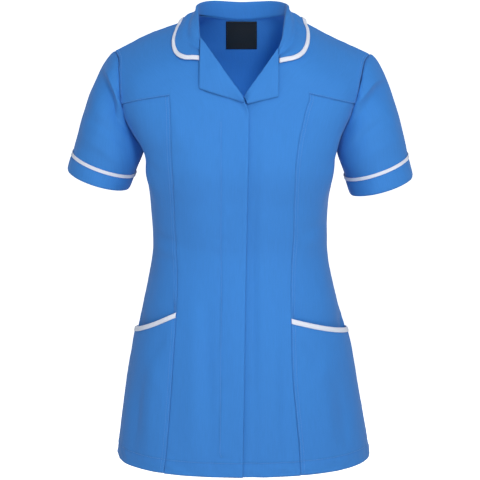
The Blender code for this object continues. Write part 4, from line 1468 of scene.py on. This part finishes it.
def add_cuff(side):
    """The cuff, doubled and pressed, and the white tape over its seam."""
    name = side_name(side)
    turns = np.arange(CUFF_COLUMNS) * 2 * math.pi / CUFF_COLUMNS
    share, turn = np.meshgrid(CUFF_SHARES, turns, indexing="ij")
    rounded = -0.9 * smooth_step((share - 0.9) / 0.1) + 0.5
    points = cuff_points(side, share, turn, rounded + 0.6 * np.sin(math.pi * share))
    ripple = waves(points, CUFF_WAVES) * smooth_step(share * 3)
    points += ring_outward(side, CUFF_SEAM[side], turn) * ripple[..., None]
    cuff = Panel(points, flip=side > 0)
    cuff.shade_seam(cuff.down)
    cuff_piece = make_cloth(name + "_cuff_cloth", cuff, blue_cloth(), CUFF_THICKNESS, ring=True)
    places = np.array([-1.0, -0.9, -0.6, -0.2, 0.2, 0.6, 0.9, 1.0])
    place, turn = np.meshgrid(places, turns, indexing="ij")
    length = np.linalg.norm(cuff_points(side, 1.0, turns) - cuff_points(side, 0.0, turns), axis=-1)
    out = 1.9 - 0.5 * np.abs(place) ** 6 + waves(points[:1] + 0 * place[..., None], TAPE_WAVES)
    tape = cuff_points(side, place * CUFF_TAPE_HALF_WIDTH / length, turn, out)
    tape_panel = Panel(tape, flip=side > 0)
    tape_piece = make_cloth(name + "_cuff_tape_weave", tape_panel, white_tape(), TAPE_THICKNESS, ring=True)
    place_piece(tape_piece, name + "_cuff_tape")
    lines = []
    for row in (1, 6):
        closed = np.concatenate([tape[row], tape[row, :1]])
        normals = ring_outward(side, CUFF_SEAM[side], np.concatenate([turns, turns[:1]]))
        lines.append((closed + normals * 0.1, normals))
    stitches = make_stitches(name + "_cuff_stitches", lines, white_thread())
    finish_cloth(cuff_piece, name + "_cuff", cuff)


# The collar and the revers

def smooth_line(points, count, axis):
    """Read a grid along one axis on smooth curves through its points, evenly by their spacing."""
    points = np.moveaxis(points, axis, 0)
    spacing = np.linalg.norm(np.diff(points, axis=0), axis=-1)
    spacing = spacing.reshape(len(spacing), -1).mean(axis=1)
    places = np.concatenate([[0.0], np.cumsum(spacing)])
    last = len(places) - 1
    before = np.maximum(np.arange(last + 1) - 1, 0)
    after = np.minimum(np.arange(last + 1) + 1, last)
    upright = (-1, *[1] * (points.ndim - 1))
    slopes = (points[after] - points[before]) / (places[after] - places[before]).reshape(upright)
    at = np.linspace(0, places[-1], count)
    low = np.clip(np.searchsorted(places, at, side="right") - 1, 0, last - 1)
    width = (places[low + 1] - places[low]).reshape(upright)
    t = (at - places[low]).reshape(upright) / width
    rise = points[low + 1] - points[low]
    start = slopes[low] * width
    finish = slopes[low + 1] * width
    out = points[low] + t * (start + t * (3 * rise - 2 * start - finish + t * (start + finish - 2 * rise)))
    return np.moveaxis(out, 0, axis)


def collar_line(side, behind, seam, edge, stand, upright):
    """One line across the collar: up the stand, over the roll and down the fall."""
    top = neck_height if behind else shoulder_height
    shares = np.array((0.0,) + COLLAR_FALL_SHARES)
    x = mix(seam[0], edge[0], shares)
    drop = mix(top(seam[0]) - seam[1], top(edge[0]) - edge[1], shares)
    height = top(x) - drop
    angle = angle_at(x, height, behind)
    base = body_point(angle, height)
    normal = body_normal(angle, height)
    lean = COLLAR_LEAN[side] * seam[0] / NECK_HALF_WIDTH
    rise = unit(mix(normal[0], np.array([lean, 0.0, 1.0]), upright))
    out = base[1] - base[0]
    out = unit(out - rise * (out @ rise))
    points = [base[0] + rise * COLLAR_FOOT_LIFT]
    middle = base[0] + out * COLLAR_ROLL_RADIUS + rise * (stand - COLLAR_ROLL_RADIUS)
    for turn in np.radians(COLLAR_ROLL_TURNS):
        points.append(middle + (rise * math.sin(turn) - out * math.cos(turn)) * COLLAR_ROLL_RADIUS)
    for k, share in enumerate(COLLAR_FALL_SHARES):
        lift = COLLAR_EDGE_LIFT + (stand - COLLAR_EDGE_LIFT) * (1 - share) ** COLLAR_HUG
        points.append(base[k + 1] + unit(mix(rise, normal[k + 1], share)) * lift)
    return np.stack(points)


def collar_half(side):
    """The collar's lines on one side, from its end at the revers to the centre back."""
    end = COLLAR_END[side]
    seam = (side * end.seam_x, end.seam_height)
    lines = [collar_line(side, False, seam, (side * end.edge_x, end.edge_height), end.stand, 0.0)]
    for row in COLLAR_FRONT:
        height = mix(end.seam_height, shoulder_height(0.0), row.seam_share)
        seam = (read_straight(FRONT_EDGES, side_name(side), height), height)
        x = side * (row.left_x if side > 0 else row.right_x)
        edge = (x, shoulder_height(x) - (row.left_drop if side > 0 else row.right_drop))
        lines.append(collar_line(side, False, seam, edge, row.stand, row.seam_share))
    for row in COLLAR_BACK:
        seam = (side * row.seam_x, neck_height(row.seam_x))
        x = side * row.edge_x
        lines.append(collar_line(side, True, seam, (x, neck_height(x) - row.edge_drop), row.stand, 1.0))
    return lines


def collar_grid():
    """The collar's smooth grid: rows from the foot to the outer edge, columns round the neck."""
    lines = collar_half(RIGHT) + collar_half(LEFT)[-2::-1]
    grid = np.stack(lines, axis=1)
    return smooth_line(smooth_line(grid, COLLAR_COLUMNS, 1), COLLAR_ROWS, 0)


def wrap_edge(line, down, out, section, ripples):
    """A binding round an edge: its section's points, swept along the edge."""
    rows = []
    ripple = waves(line, ripples)
    for place in section:
        swell = place.out + (ripple if place.out > 0 else 0.0)
        rows.append(line + down * place.past + out * np.asarray(swell)[..., None])
    return np.stack(rows)


def add_collar():
    points = collar_grid()
    panel = Panel(points, flip=True)
    place = panel.down / panel.down[-1:]
    relief = waves(points, COLLAR_WAVES) * smooth_step((place - 0.35) / 0.3)
    relief -= COLLAR_HOLLOW * np.exp(-((place - COLLAR_HOLLOW_AT) / COLLAR_HOLLOW_WIDTH) ** 2)
    ends = np.minimum(panel.across, panel.across[:, [-1]] - panel.across)
    relief -= 0.6 * np.exp(-(ends / 1.4) ** 2)
    panel.lift(relief)
    to_edge = panel.down[-1:] - panel.down
    # Painted shade along the binding's inner edge and along the collar's foot
    panel.shade_seam(np.abs(to_edge - 7.0), 1.6)
    panel.shade_seam(panel.down, 2.0)
    piece = make_cloth("collar_cloth", panel, blue_cloth(), COLLAR_THICKNESS)
    finish_cloth(piece, "collar", panel)
    edge = panel.points[-1]
    down = unit(panel.points[-1] - panel.points[-3])
    along = unit(np.gradient(edge, axis=0))
    out = unit(np.cross(along, down))
    binding = Panel(wrap_edge(edge, down, out, COLLAR_WRAP, COLLAR_BINDING_WAVES), flip=True)
    piece = make_cloth("collar_binding_weave", binding, white_tape(), BINDING_THICKNESS)
    lines = [(mix(binding.points[1], binding.points[2], 0.5) + out * 0.05, out)]
    stitches = make_stitches("collar_binding_stitches", lines, white_thread())
    finish_cloth(piece, "collar_binding", binding)


def add_revers(side):
    """A revers: the front's facing, rolled over the front's edge and pressed back."""
    corners = [np.array(corner) for corner in REVERS[side]]
    along = np.linspace(0, 1, REVERS_COLUMNS)
    down = np.concatenate([np.linspace(0, 0.08, 5), np.linspace(0.1, 0.9, 26), np.linspace(0.92, 1.0, 7)])
    share, place = np.meshgrid(down, along, indexing="ij")
    roll_line = mix(corners[0], corners[1], place[..., None])
    outer_line = mix(corners[2], corners[3], place[..., None])
    xz = mix(roll_line, outer_line, share[..., None])
    lift = mix(REVERS_ROLL_LIFT[side], REVERS_EDGE_LIFT[side], share) + REVERS_ROUND * np.sin(math.pi * share)
    from_foot = np.linalg.norm(xz - corners[1], axis=-1)
    lift -= REVERS_TUCK[side] * np.exp(-(from_foot / REVERS_TUCK_REACH) ** 2)
    flat = lifted(angle_at(xz[..., 0], xz[..., 1]), xz[..., 1], lift)
    roll_normal = body_normal(angle_at(xz[0, :, 0], xz[0, :, 1]), xz[0, :, 1])
    into = unit(flat[0] - flat[3])
    rolled = []
    centre = flat[0] - roll_normal * REVERS_ROLL_RADIUS
    for turn in np.radians(REVERS_ROLL_TURNS):
        above = roll_normal * REVERS_ROLL_RADIUS * math.cos(turn)
        rolled.append(centre + above + into * REVERS_ROLL_RADIUS * math.sin(turn))
    points = np.concatenate([np.stack(rolled), flat])
    panel = Panel(points, flip=side > 0)
    first = len(rolled)
    to_foot = panel.down[-1:] - panel.down
    ends = np.minimum(panel.across, panel.across[:, [-1]] - panel.across)
    relief = waves(points, REVERS_WAVES) * smooth_step((panel.down - panel.down[first]) / 12)
    relief -= 0.7 * np.exp(-(to_foot / 1.5) ** 2) + 0.5 * np.exp(-(ends / 1.3) ** 2)
    panel.lift(relief)
    # Painted shade along the revers' outer edge
    panel.shade_seam(to_foot, ROW_SHADE_REACH)
    name = side_name(side)
    piece = make_cloth(name + "_revers_cloth", panel, blue_cloth(), REVERS_THICKNESS)
    finish_cloth(piece, name + "_revers", panel)


# The pockets and the label

def pocket_mouth(side, share):
    return mix(POCKET_MOUTH_OUT, POCKET_MOUTH_IN[side], (1 - share) ** POCKET_MOUTH_CURVE)


def pocket_point(side, share, below, lift):
    """Points over a pocket, a share of the way from the princess seam to the side seam."""
    height = pocket_mouth(side, share) - below
    inner = angle_at(read_smooth(PRINCESS, side_name(side), height), height)
    angle = mix(inner, side * math.pi / 2, share)
    opening = smooth_step(share / POCKET_GAPE_AT)
    closing = smooth_step((1 - share) / (1 - POCKET_GAPE_AT))
    gape = np.where(share < POCKET_GAPE_AT, opening, closing)
    gape = gape * POCKET_GAPE * np.exp(-(below / POCKET_GAPE_LENGTH) ** 2)
    in_seam = mix(POCKET_SEAM_SHARE, 1.0, smooth_step(share / POCKET_SEAM_TURN))
    return lifted(angle, height, lift * in_seam + gape)


def pocket_length(side, share):
    """How far a pocket reaches below its mouth, to just above the hem."""
    inner = angle_at(read_smooth(PRINCESS, side_name(side), HEM_SIDE), HEM_SIDE)
    hem = mix(HEM_SIDE, HEM_FRONT, np.cos(mix(inner, side * math.pi / 2, share)) ** 2)
    return pocket_mouth(side, share) - hem - POCKET_FOOT_GAP


def pocket_relief(points):
    return body_relief(points) + fold_relief(points, POCKET_FOLDS) * bpy.context.scene.tunic_folds.depth


def add_pocket(side):
    """A pocket with its bound mouth."""
    cell = bpy.context.scene.tunic_cloth.cell / MM
    name = side_name(side)
    columns = graded(lambda share: pocket_point(side, share, 60.0, POCKET_LIFT), cell,
                     near_start=(0.0, SECOND_ROW), near_end=(0.0,))
    length = pocket_length(side, 0.5)
    rows = graded(lambda share: pocket_point(side, 0.5 + 0 * share, length * share, POCKET_LIFT), cell,
                  near_start=(0.0,), near_end=(0.0, HEM_ALLOWANCE))
    down, share = np.meshgrid(rows, columns, indexing="ij")
    base = pocket_point(side, share, pocket_length(side, share) * down, POCKET_LIFT)
    panel = Panel(base, flip=side < 0)
    to_hem = panel.down[-1:] - panel.down
    to_side = panel.across[:, [-1]] - panel.across
    relief = pocket_relief(base) + hem_relief(base, to_hem)
    relief += seam_relief(base, panel.across, (EDGE_ROW, SECOND_ROW)) * PRINCESS_DEPTH
    relief += seam_relief(base, to_side, ())
    panel.lift(relief)
    # Painted shade along the seams, the hem row and the lower edge of the mouth's binding
    panel.shade_seam(to_side)
    panel.shade_seam(panel.across, strength=PRINCESS_SHADE)
    panel.shade_seam(np.abs(to_hem - HEM_ALLOWANCE), ROW_SHADE_REACH)
    panel.shade_seam(np.abs(panel.down - POCKET_BINDING_WIDTH), ROW_SHADE_REACH)
    lines = [line_down(panel, panel.across, row, slice(4, None)) for row in (EDGE_ROW, SECOND_ROW)]
    lines.append(line_across(panel, to_hem, HEM_ALLOWANCE))
    piece = make_cloth(name + "_pocket_cloth", panel, blue_cloth(), POCKET_THICKNESS)
    stitches = make_stitches(name + "_pocket_stitches", lines, blue_thread())
    finish_cloth(piece, name + "_pocket", panel)
    shares = np.linspace(0.0, 1.0, POCKET_MOUTH_COLUMNS)
    edge = pocket_point(side, shares, 0.0, POCKET_LIFT)
    relief = pocket_relief(edge) + seam_relief(edge, run_along(edge, 0), ())
    normal = body_normal(angle_at(edge[:, 0], edge[:, 2]), edge[:, 2])
    edge = edge + normal * relief[:, None]
    under = pocket_point(side, shares, 3.0, POCKET_LIFT)
    down_way = unit(pocket_point(side, shares, 0.0, POCKET_LIFT) - under)
    collar_width = -COLLAR_WRAP[0].past
    section = [Wrap(row.past * POCKET_BINDING_WIDTH / collar_width, row.out) for row in COLLAR_WRAP[:-2]]
    binding = Panel(wrap_edge(edge, down_way, normal, section, POCKET_BINDING_WAVES), flip=side > 0)
    piece = make_cloth(name + "_pocket_binding_weave", binding, white_tape(), BINDING_THICKNESS)
    lines = [(mix(binding.points[1], binding.points[2], 0.5) + normal * 0.05, normal)]
    stitches = make_stitches(name + "_pocket_binding_stitches", lines, white_thread())
    finish_cloth(piece, name + "_pocket_binding", binding)


def add_label():
    """The plain woven label, sewn inside the back under the neck seam."""
    heights = np.linspace(LABEL_TOP, LABEL_FOOT, LABEL_ROWS)
    xs = np.linspace(-LABEL_HALF_WIDTH, LABEL_HALF_WIDTH, LABEL_COLUMNS)
    height, x = np.meshgrid(heights, xs, indexing="ij")
    sink = -LABEL_SINK - LABEL_BOW * np.sin(math.pi * (height - LABEL_TOP) / (LABEL_FOOT - LABEL_TOP)) ** 2
    base = lifted(angle_at(x, height, True), height, sink)
    base = base + body_normal(angle_at(x, height, True), height) * body_relief(base)[..., None]
    panel = Panel(base, flip=False)
    to_first = panel.across
    to_last = panel.across[:, [-1]] - panel.across
    panel.shade_seam(np.minimum(to_first, to_last), 1.2)
    piece = make_cloth("neck_label_weave", panel, black_satin(), LABEL_THICKNESS)
    lines = [line_down(panel, to_first, LABEL_MARGIN), line_down(panel, -to_last, -LABEL_MARGIN)]
    thread = thread_material("black_thread", bpy.context.scene.tunic_cloth.label)
    stitches = make_stitches("neck_label_stitches", lines, thread)
    finish_cloth(piece, "neck_label", panel)


# The studio

def add_light(name, kind, power, place, target):
    """A lamp of any kind, aimed at a place; returns its settings."""
    light = bpy.data.lights.new(name, kind)
    light.energy = power
    lamp = bpy.data.objects.new(name, light)
    lamp.location = place
    lamp.rotation_euler = (Vector(target) - Vector(place)).to_track_quat("-Z", "Y").to_euler()
    bpy.context.scene.collection.objects.link(lamp)
    return light


def add_lights():
    stage = bpy.context.scene.tunic_stage
    for box in SOFTBOXES:
        power = getattr(stage, box.power) * box.share
        light = add_light(box.name, "AREA", power, box.place, box.target)
        light.shape = "RECTANGLE"
        light.size = box.width
        light.size_y = box.height
    chest = add_light("chest_spot", "SPOT", stage.chest_power, (0.0, -2.3, -1.0), (0.0, -0.05, -0.285))
    chest.spot_size = math.radians(15)
    chest.spot_blend = 1.0
    chest.shadow_soft_size = 0.2
    glow = add_light("glow_through_back", "POINT", stage.glow_power, (0.0, -0.01, -0.15), MIDDLE)
    glow.color = (0.05, 0.55, 1.0)
    glow.shadow_soft_size = 0.03


def studio_floor():
    """A pale floor that curves up behind, as one sheet of studio paper."""
    stage = bpy.context.scene.tunic_stage
    bend_from = PAPER_REACH - PAPER_BEND
    profile = [(PAPER_FRONT, 0.0), (bend_from, 0.0)]
    for k in range(1, PAPER_BEND_STEPS + 1):
        turn = math.radians(90 * k / PAPER_BEND_STEPS)
        profile.append((bend_from + PAPER_BEND * math.sin(turn), PAPER_BEND * (1 - math.cos(turn))))
    profile.append((PAPER_REACH, PAPER_TOP))
    verts = []
    faces = []
    for k, (y, z) in enumerate(profile):
        height = z - stage.floor_drop
        verts += [(-PAPER_HALF_WIDTH, y, height), (PAPER_HALF_WIDTH, y, height)]
        if k:
            faces.append([2 * k - 2, 2 * k - 1, 2 * k + 1, 2 * k])
    data = bpy.data.meshes.new("studio_floor")
    data.from_pydata(verts, [], faces)
    data.shade_smooth()
    material = bpy.data.materials.new("pale_studio_paper")
    material.use_nodes = True
    tree = material.node_tree
    shader = tree.nodes["Principled BSDF"]
    shader.inputs["Roughness"].default_value = 0.9
    shader.inputs["Emission Strength"].default_value = stage.paper_glow
    shader.inputs["Emission Color"].default_value = (1.0, 1.0, 1.0, 1.0)
    place = tree.nodes.new("ShaderNodeTexCoord")
    tone = add_noise(tree, place.outputs["Object"], 2.0, 2.0)
    shade = add_mix(tree, tone, (0.93, 0.93, 0.93, 1.0), (0.96, 0.96, 0.96, 1.0))
    tree.links.new(shade, shader.inputs["Base Color"])
    data.materials.append(material)
    floor = bpy.data.objects.new("studio_floor", data)
    floor.visible_diffuse = False
    bpy.context.scene.collection.objects.link(floor)


def add_camera():
    stage = bpy.context.scene.tunic_stage
    lens = bpy.data.cameras.new("front_camera")
    lens.lens = stage.lens
    lens.sensor_width = 36.0
    camera = bpy.data.objects.new("front_camera", lens)
    camera.location = stage.camera_place
    aim = Vector(stage.camera_aim) - Vector(stage.camera_place)
    camera.rotation_euler = aim.to_track_quat("-Z", "Y").to_euler()
    bpy.context.scene.collection.objects.link(camera)
    bpy.context.scene.camera = camera


def add_studio():
    stage = bpy.context.scene.tunic_stage
    bpy.context.scene.view_settings.view_transform = "Standard"
    world = bpy.data.worlds.new("studio_air")
    world.use_nodes = True
    world.node_tree.nodes["Background"].inputs["Color"].default_value = AIR_COLOUR
    world.node_tree.nodes["Background"].inputs["Strength"].default_value = stage.ambient
    bpy.context.scene.world = world
    add_lights()
    studio_floor()
    add_camera()


class TunicCloth(bpy.types.PropertyGroup):
    """The cloth, tape and thread of the tunic."""

    cell: FloatProperty(name="Cell", description="Spacing of the cloth's points", default=0.0036,
                        min=0.002, max=0.02, unit="LENGTH", precision=4)
    thickness: FloatProperty(name="Cloth thickness", description="Thickness of the cloth with its turnings",
                             default=0.0013, min=0.0005, max=0.003, unit="LENGTH", precision=4)
    stitch_pitch: FloatProperty(name="Stitch length", description="Spacing of the stitches", default=0.0028,
                                min=0.001, max=0.01, unit="LENGTH", precision=4)
    thread_width: FloatProperty(name="Thread width", description="Width of the sewing thread", default=0.0007,
                                min=0.0002, max=0.002, unit="LENGTH", precision=5)
    blue: FloatVectorProperty(name="Cloth colour", description="Colour of the main cloth", subtype="COLOR",
                              size=4, min=0.0, max=1.0, default=(0.042, 0.221, 0.615, 1.0))
    blue_thread: FloatVectorProperty(name="Thread colour", description="Colour of the topstitching",
                                     subtype="COLOR", size=4, min=0.0, max=1.0,
                                     default=(0.07, 0.27, 0.66, 1.0))
    white: FloatVectorProperty(name="Tape colour", description="Colour of the tapes and bindings",
                               subtype="COLOR", size=4, min=0.0, max=1.0,
                               default=(0.80, 0.80, 0.87, 1.0))
    label: FloatVectorProperty(name="Label colour", description="Colour of the neck label", subtype="COLOR",
                               size=4, min=0.0, max=1.0, default=(0.012, 0.012, 0.014, 1.0))


class TunicFolds(bpy.types.PropertyGroup):
    """How strongly the cloth folds and puckers."""

    depth: FloatProperty(name="Fold depth", description="Share of the soft folds' full depth", default=1.0,
                         min=0.0, max=3.0, subtype="FACTOR")
    unevenness: FloatProperty(name="Unevenness", description="Share of the cloth's slight waves", default=1.0,
                              min=0.0, max=3.0, subtype="FACTOR")
    pucker: FloatProperty(name="Seam pucker", description="Share of the puckers along seams", default=1.0,
                          min=0.0, max=3.0, subtype="FACTOR")


class TunicStage(bpy.types.PropertyGroup):
    """The studio round the tunic."""

    floor_drop: FloatProperty(name="Floor drop", description="How far the floor lies below the neck",
                              default=1.4, min=0.8, max=3.0, unit="LENGTH")
    paper_glow: FloatProperty(name="Paper glow", description="Light that the studio paper adds", default=0.95,
                              min=0.0, max=2.0)
    ambient: FloatProperty(name="Ambient", description="Strength of the even light", default=0.25,
                           min=0.0, max=3.0)
    key_power: FloatProperty(name="Key light", description="Power of the main softbox", default=35.0,
                             min=0.0, max=1000.0, unit="POWER")
    fill_power: FloatProperty(name="Fill light", description="Power of the softbox opposite", default=31.0,
                              min=0.0, max=1000.0, unit="POWER")
    top_power: FloatProperty(name="Top light", description="Power of the softbox above", default=8.0,
                             min=0.0, max=1000.0, unit="POWER")
    side_power: FloatProperty(name="Side light", description="Power of the softboxes at the sides",
                              default=10.0, min=0.0, max=1000.0, unit="POWER")
    chest_power: FloatProperty(name="Chest light", description="Power of the narrow lamp on the chest",
                               default=17.0, min=0.0, max=1000.0, unit="POWER")
    glow_power: FloatProperty(name="Glow inside", description="Power of the light through the back's cloth",
                              default=0.13, min=0.0, max=10.0, unit="POWER")
    back_power: FloatProperty(name="Back light", description="Power of the softbox behind", default=30.0,
                              min=0.0, max=1000.0, unit="POWER")
    camera_place: FloatVectorProperty(name="Camera place", description="Where the camera stands", size=3,
                                      subtype="TRANSLATION", default=(-0.0025, -2.5, -0.069))
    camera_aim: FloatVectorProperty(name="Camera aim", description="Where the camera looks", size=3,
                                    subtype="TRANSLATION", default=(-0.0025, 0.0, -0.369))
    lens: FloatProperty(name="Lens", description="Focal length in millimetres", default=114.45,
                        min=20.0, max=300.0)


class TUNIC_OT_fronts(bpy.types.Operator):
    """Add the two fronts with their shoulder yokes"""

    bl_idname = "tunic.fronts"
    bl_label = "Fronts"

    def execute(self, context):
        for side in SIDES:
            add_front(side)
        return {"FINISHED"}


class TUNIC_OT_side_fronts(bpy.types.Operator):
    """Add the panels between the princess seams and the side seams"""

    bl_idname = "tunic.side_fronts"
    bl_label = "Side fronts"

    def execute(self, context):
        for side in SIDES:
            add_side_front(side)
        return {"FINISHED"}


class TUNIC_OT_back(bpy.types.Operator):
    """Add the back"""

    bl_idname = "tunic.back"
    bl_label = "Back"

    def execute(self, context):
        add_back()
        return {"FINISHED"}


class TUNIC_OT_sleeves(bpy.types.Operator):
    """Add the sleeves, their cuffs and the tapes on them"""

    bl_idname = "tunic.sleeves"
    bl_label = "Sleeves and cuffs"

    def execute(self, context):
        for side in SIDES:
            add_sleeve(side)
            add_cuff(side)
        return {"FINISHED"}


class TUNIC_OT_collar(bpy.types.Operator):
    """Add the collar with its binding"""

    bl_idname = "tunic.collar"
    bl_label = "Collar"

    def execute(self, context):
        add_collar()
        return {"FINISHED"}


class TUNIC_OT_revers(bpy.types.Operator):
    """Add the two revers"""

    bl_idname = "tunic.revers"
    bl_label = "Revers"

    def execute(self, context):
        for side in SIDES:
            add_revers(side)
        return {"FINISHED"}


class TUNIC_OT_pockets(bpy.types.Operator):
    """Add the pockets with their bindings"""

    bl_idname = "tunic.pockets"
    bl_label = "Pockets"

    def execute(self, context):
        for side in SIDES:
            add_pocket(side)
        return {"FINISHED"}


class TUNIC_OT_label(bpy.types.Operator):
    """Add the plain neck label"""

    bl_idname = "tunic.label"
    bl_label = "Neck label"

    def execute(self, context):
        add_label()
        return {"FINISHED"}


class TUNIC_OT_studio(bpy.types.Operator):
    """Add the floor, the lights and the camera"""

    bl_idname = "tunic.studio"
    bl_label = "Studio"

    def execute(self, context):
        add_studio()
        return {"FINISHED"}


OPERATORS = (
    TUNIC_OT_fronts,
    TUNIC_OT_side_fronts,
    TUNIC_OT_back,
    TUNIC_OT_sleeves,
    TUNIC_OT_collar,
    TUNIC_OT_revers,
    TUNIC_OT_pockets,
    TUNIC_OT_label,
    TUNIC_OT_studio,
)


class TUNIC_PT_panel(bpy.types.Panel):
    """Lists the tunic's pieces and sizes"""

    bl_idname = "TUNIC_PT_panel"
    bl_label = "Work tunic"
    bl_space_type = "VIEW_3D"
    bl_region_type = "UI"
    bl_category = "Tunic"

    def draw(self, context):
        layout = self.layout
        for group in (context.scene.tunic_cloth, context.scene.tunic_folds, context.scene.tunic_stage):
            box = layout.box()
            for name in group.__annotations__:
                box.prop(group, name)
        for operator in OPERATORS:
            layout.operator(operator.bl_idname)


CLASSES = (TunicCloth, TunicFolds, TunicStage) + OPERATORS + (TUNIC_PT_panel,)


def register():
    for item in CLASSES:
        bpy.utils.register_class(item)
    bpy.types.Scene.tunic_cloth = PointerProperty(type=TunicCloth)
    bpy.types.Scene.tunic_folds = PointerProperty(type=TunicFolds)
    bpy.types.Scene.tunic_stage = PointerProperty(type=TunicStage)


def unregister():
    del bpy.types.Scene.tunic_stage
    del bpy.types.Scene.tunic_folds
    del bpy.types.Scene.tunic_cloth
    for item in reversed(CLASSES):
        bpy.utils.unregister_class(item)


def main():
    register()
    bpy.ops.tunic.fronts()
    bpy.ops.tunic.side_fronts()
    bpy.ops.tunic.back()
    bpy.ops.tunic.sleeves()
    bpy.ops.tunic.collar()
    bpy.ops.tunic.revers()
    bpy.ops.tunic.pockets()
    bpy.ops.tunic.label()
    bpy.ops.tunic.studio()
    bpy.context.view_layer.update()
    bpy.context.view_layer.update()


if __name__ == "__main__":
    main()
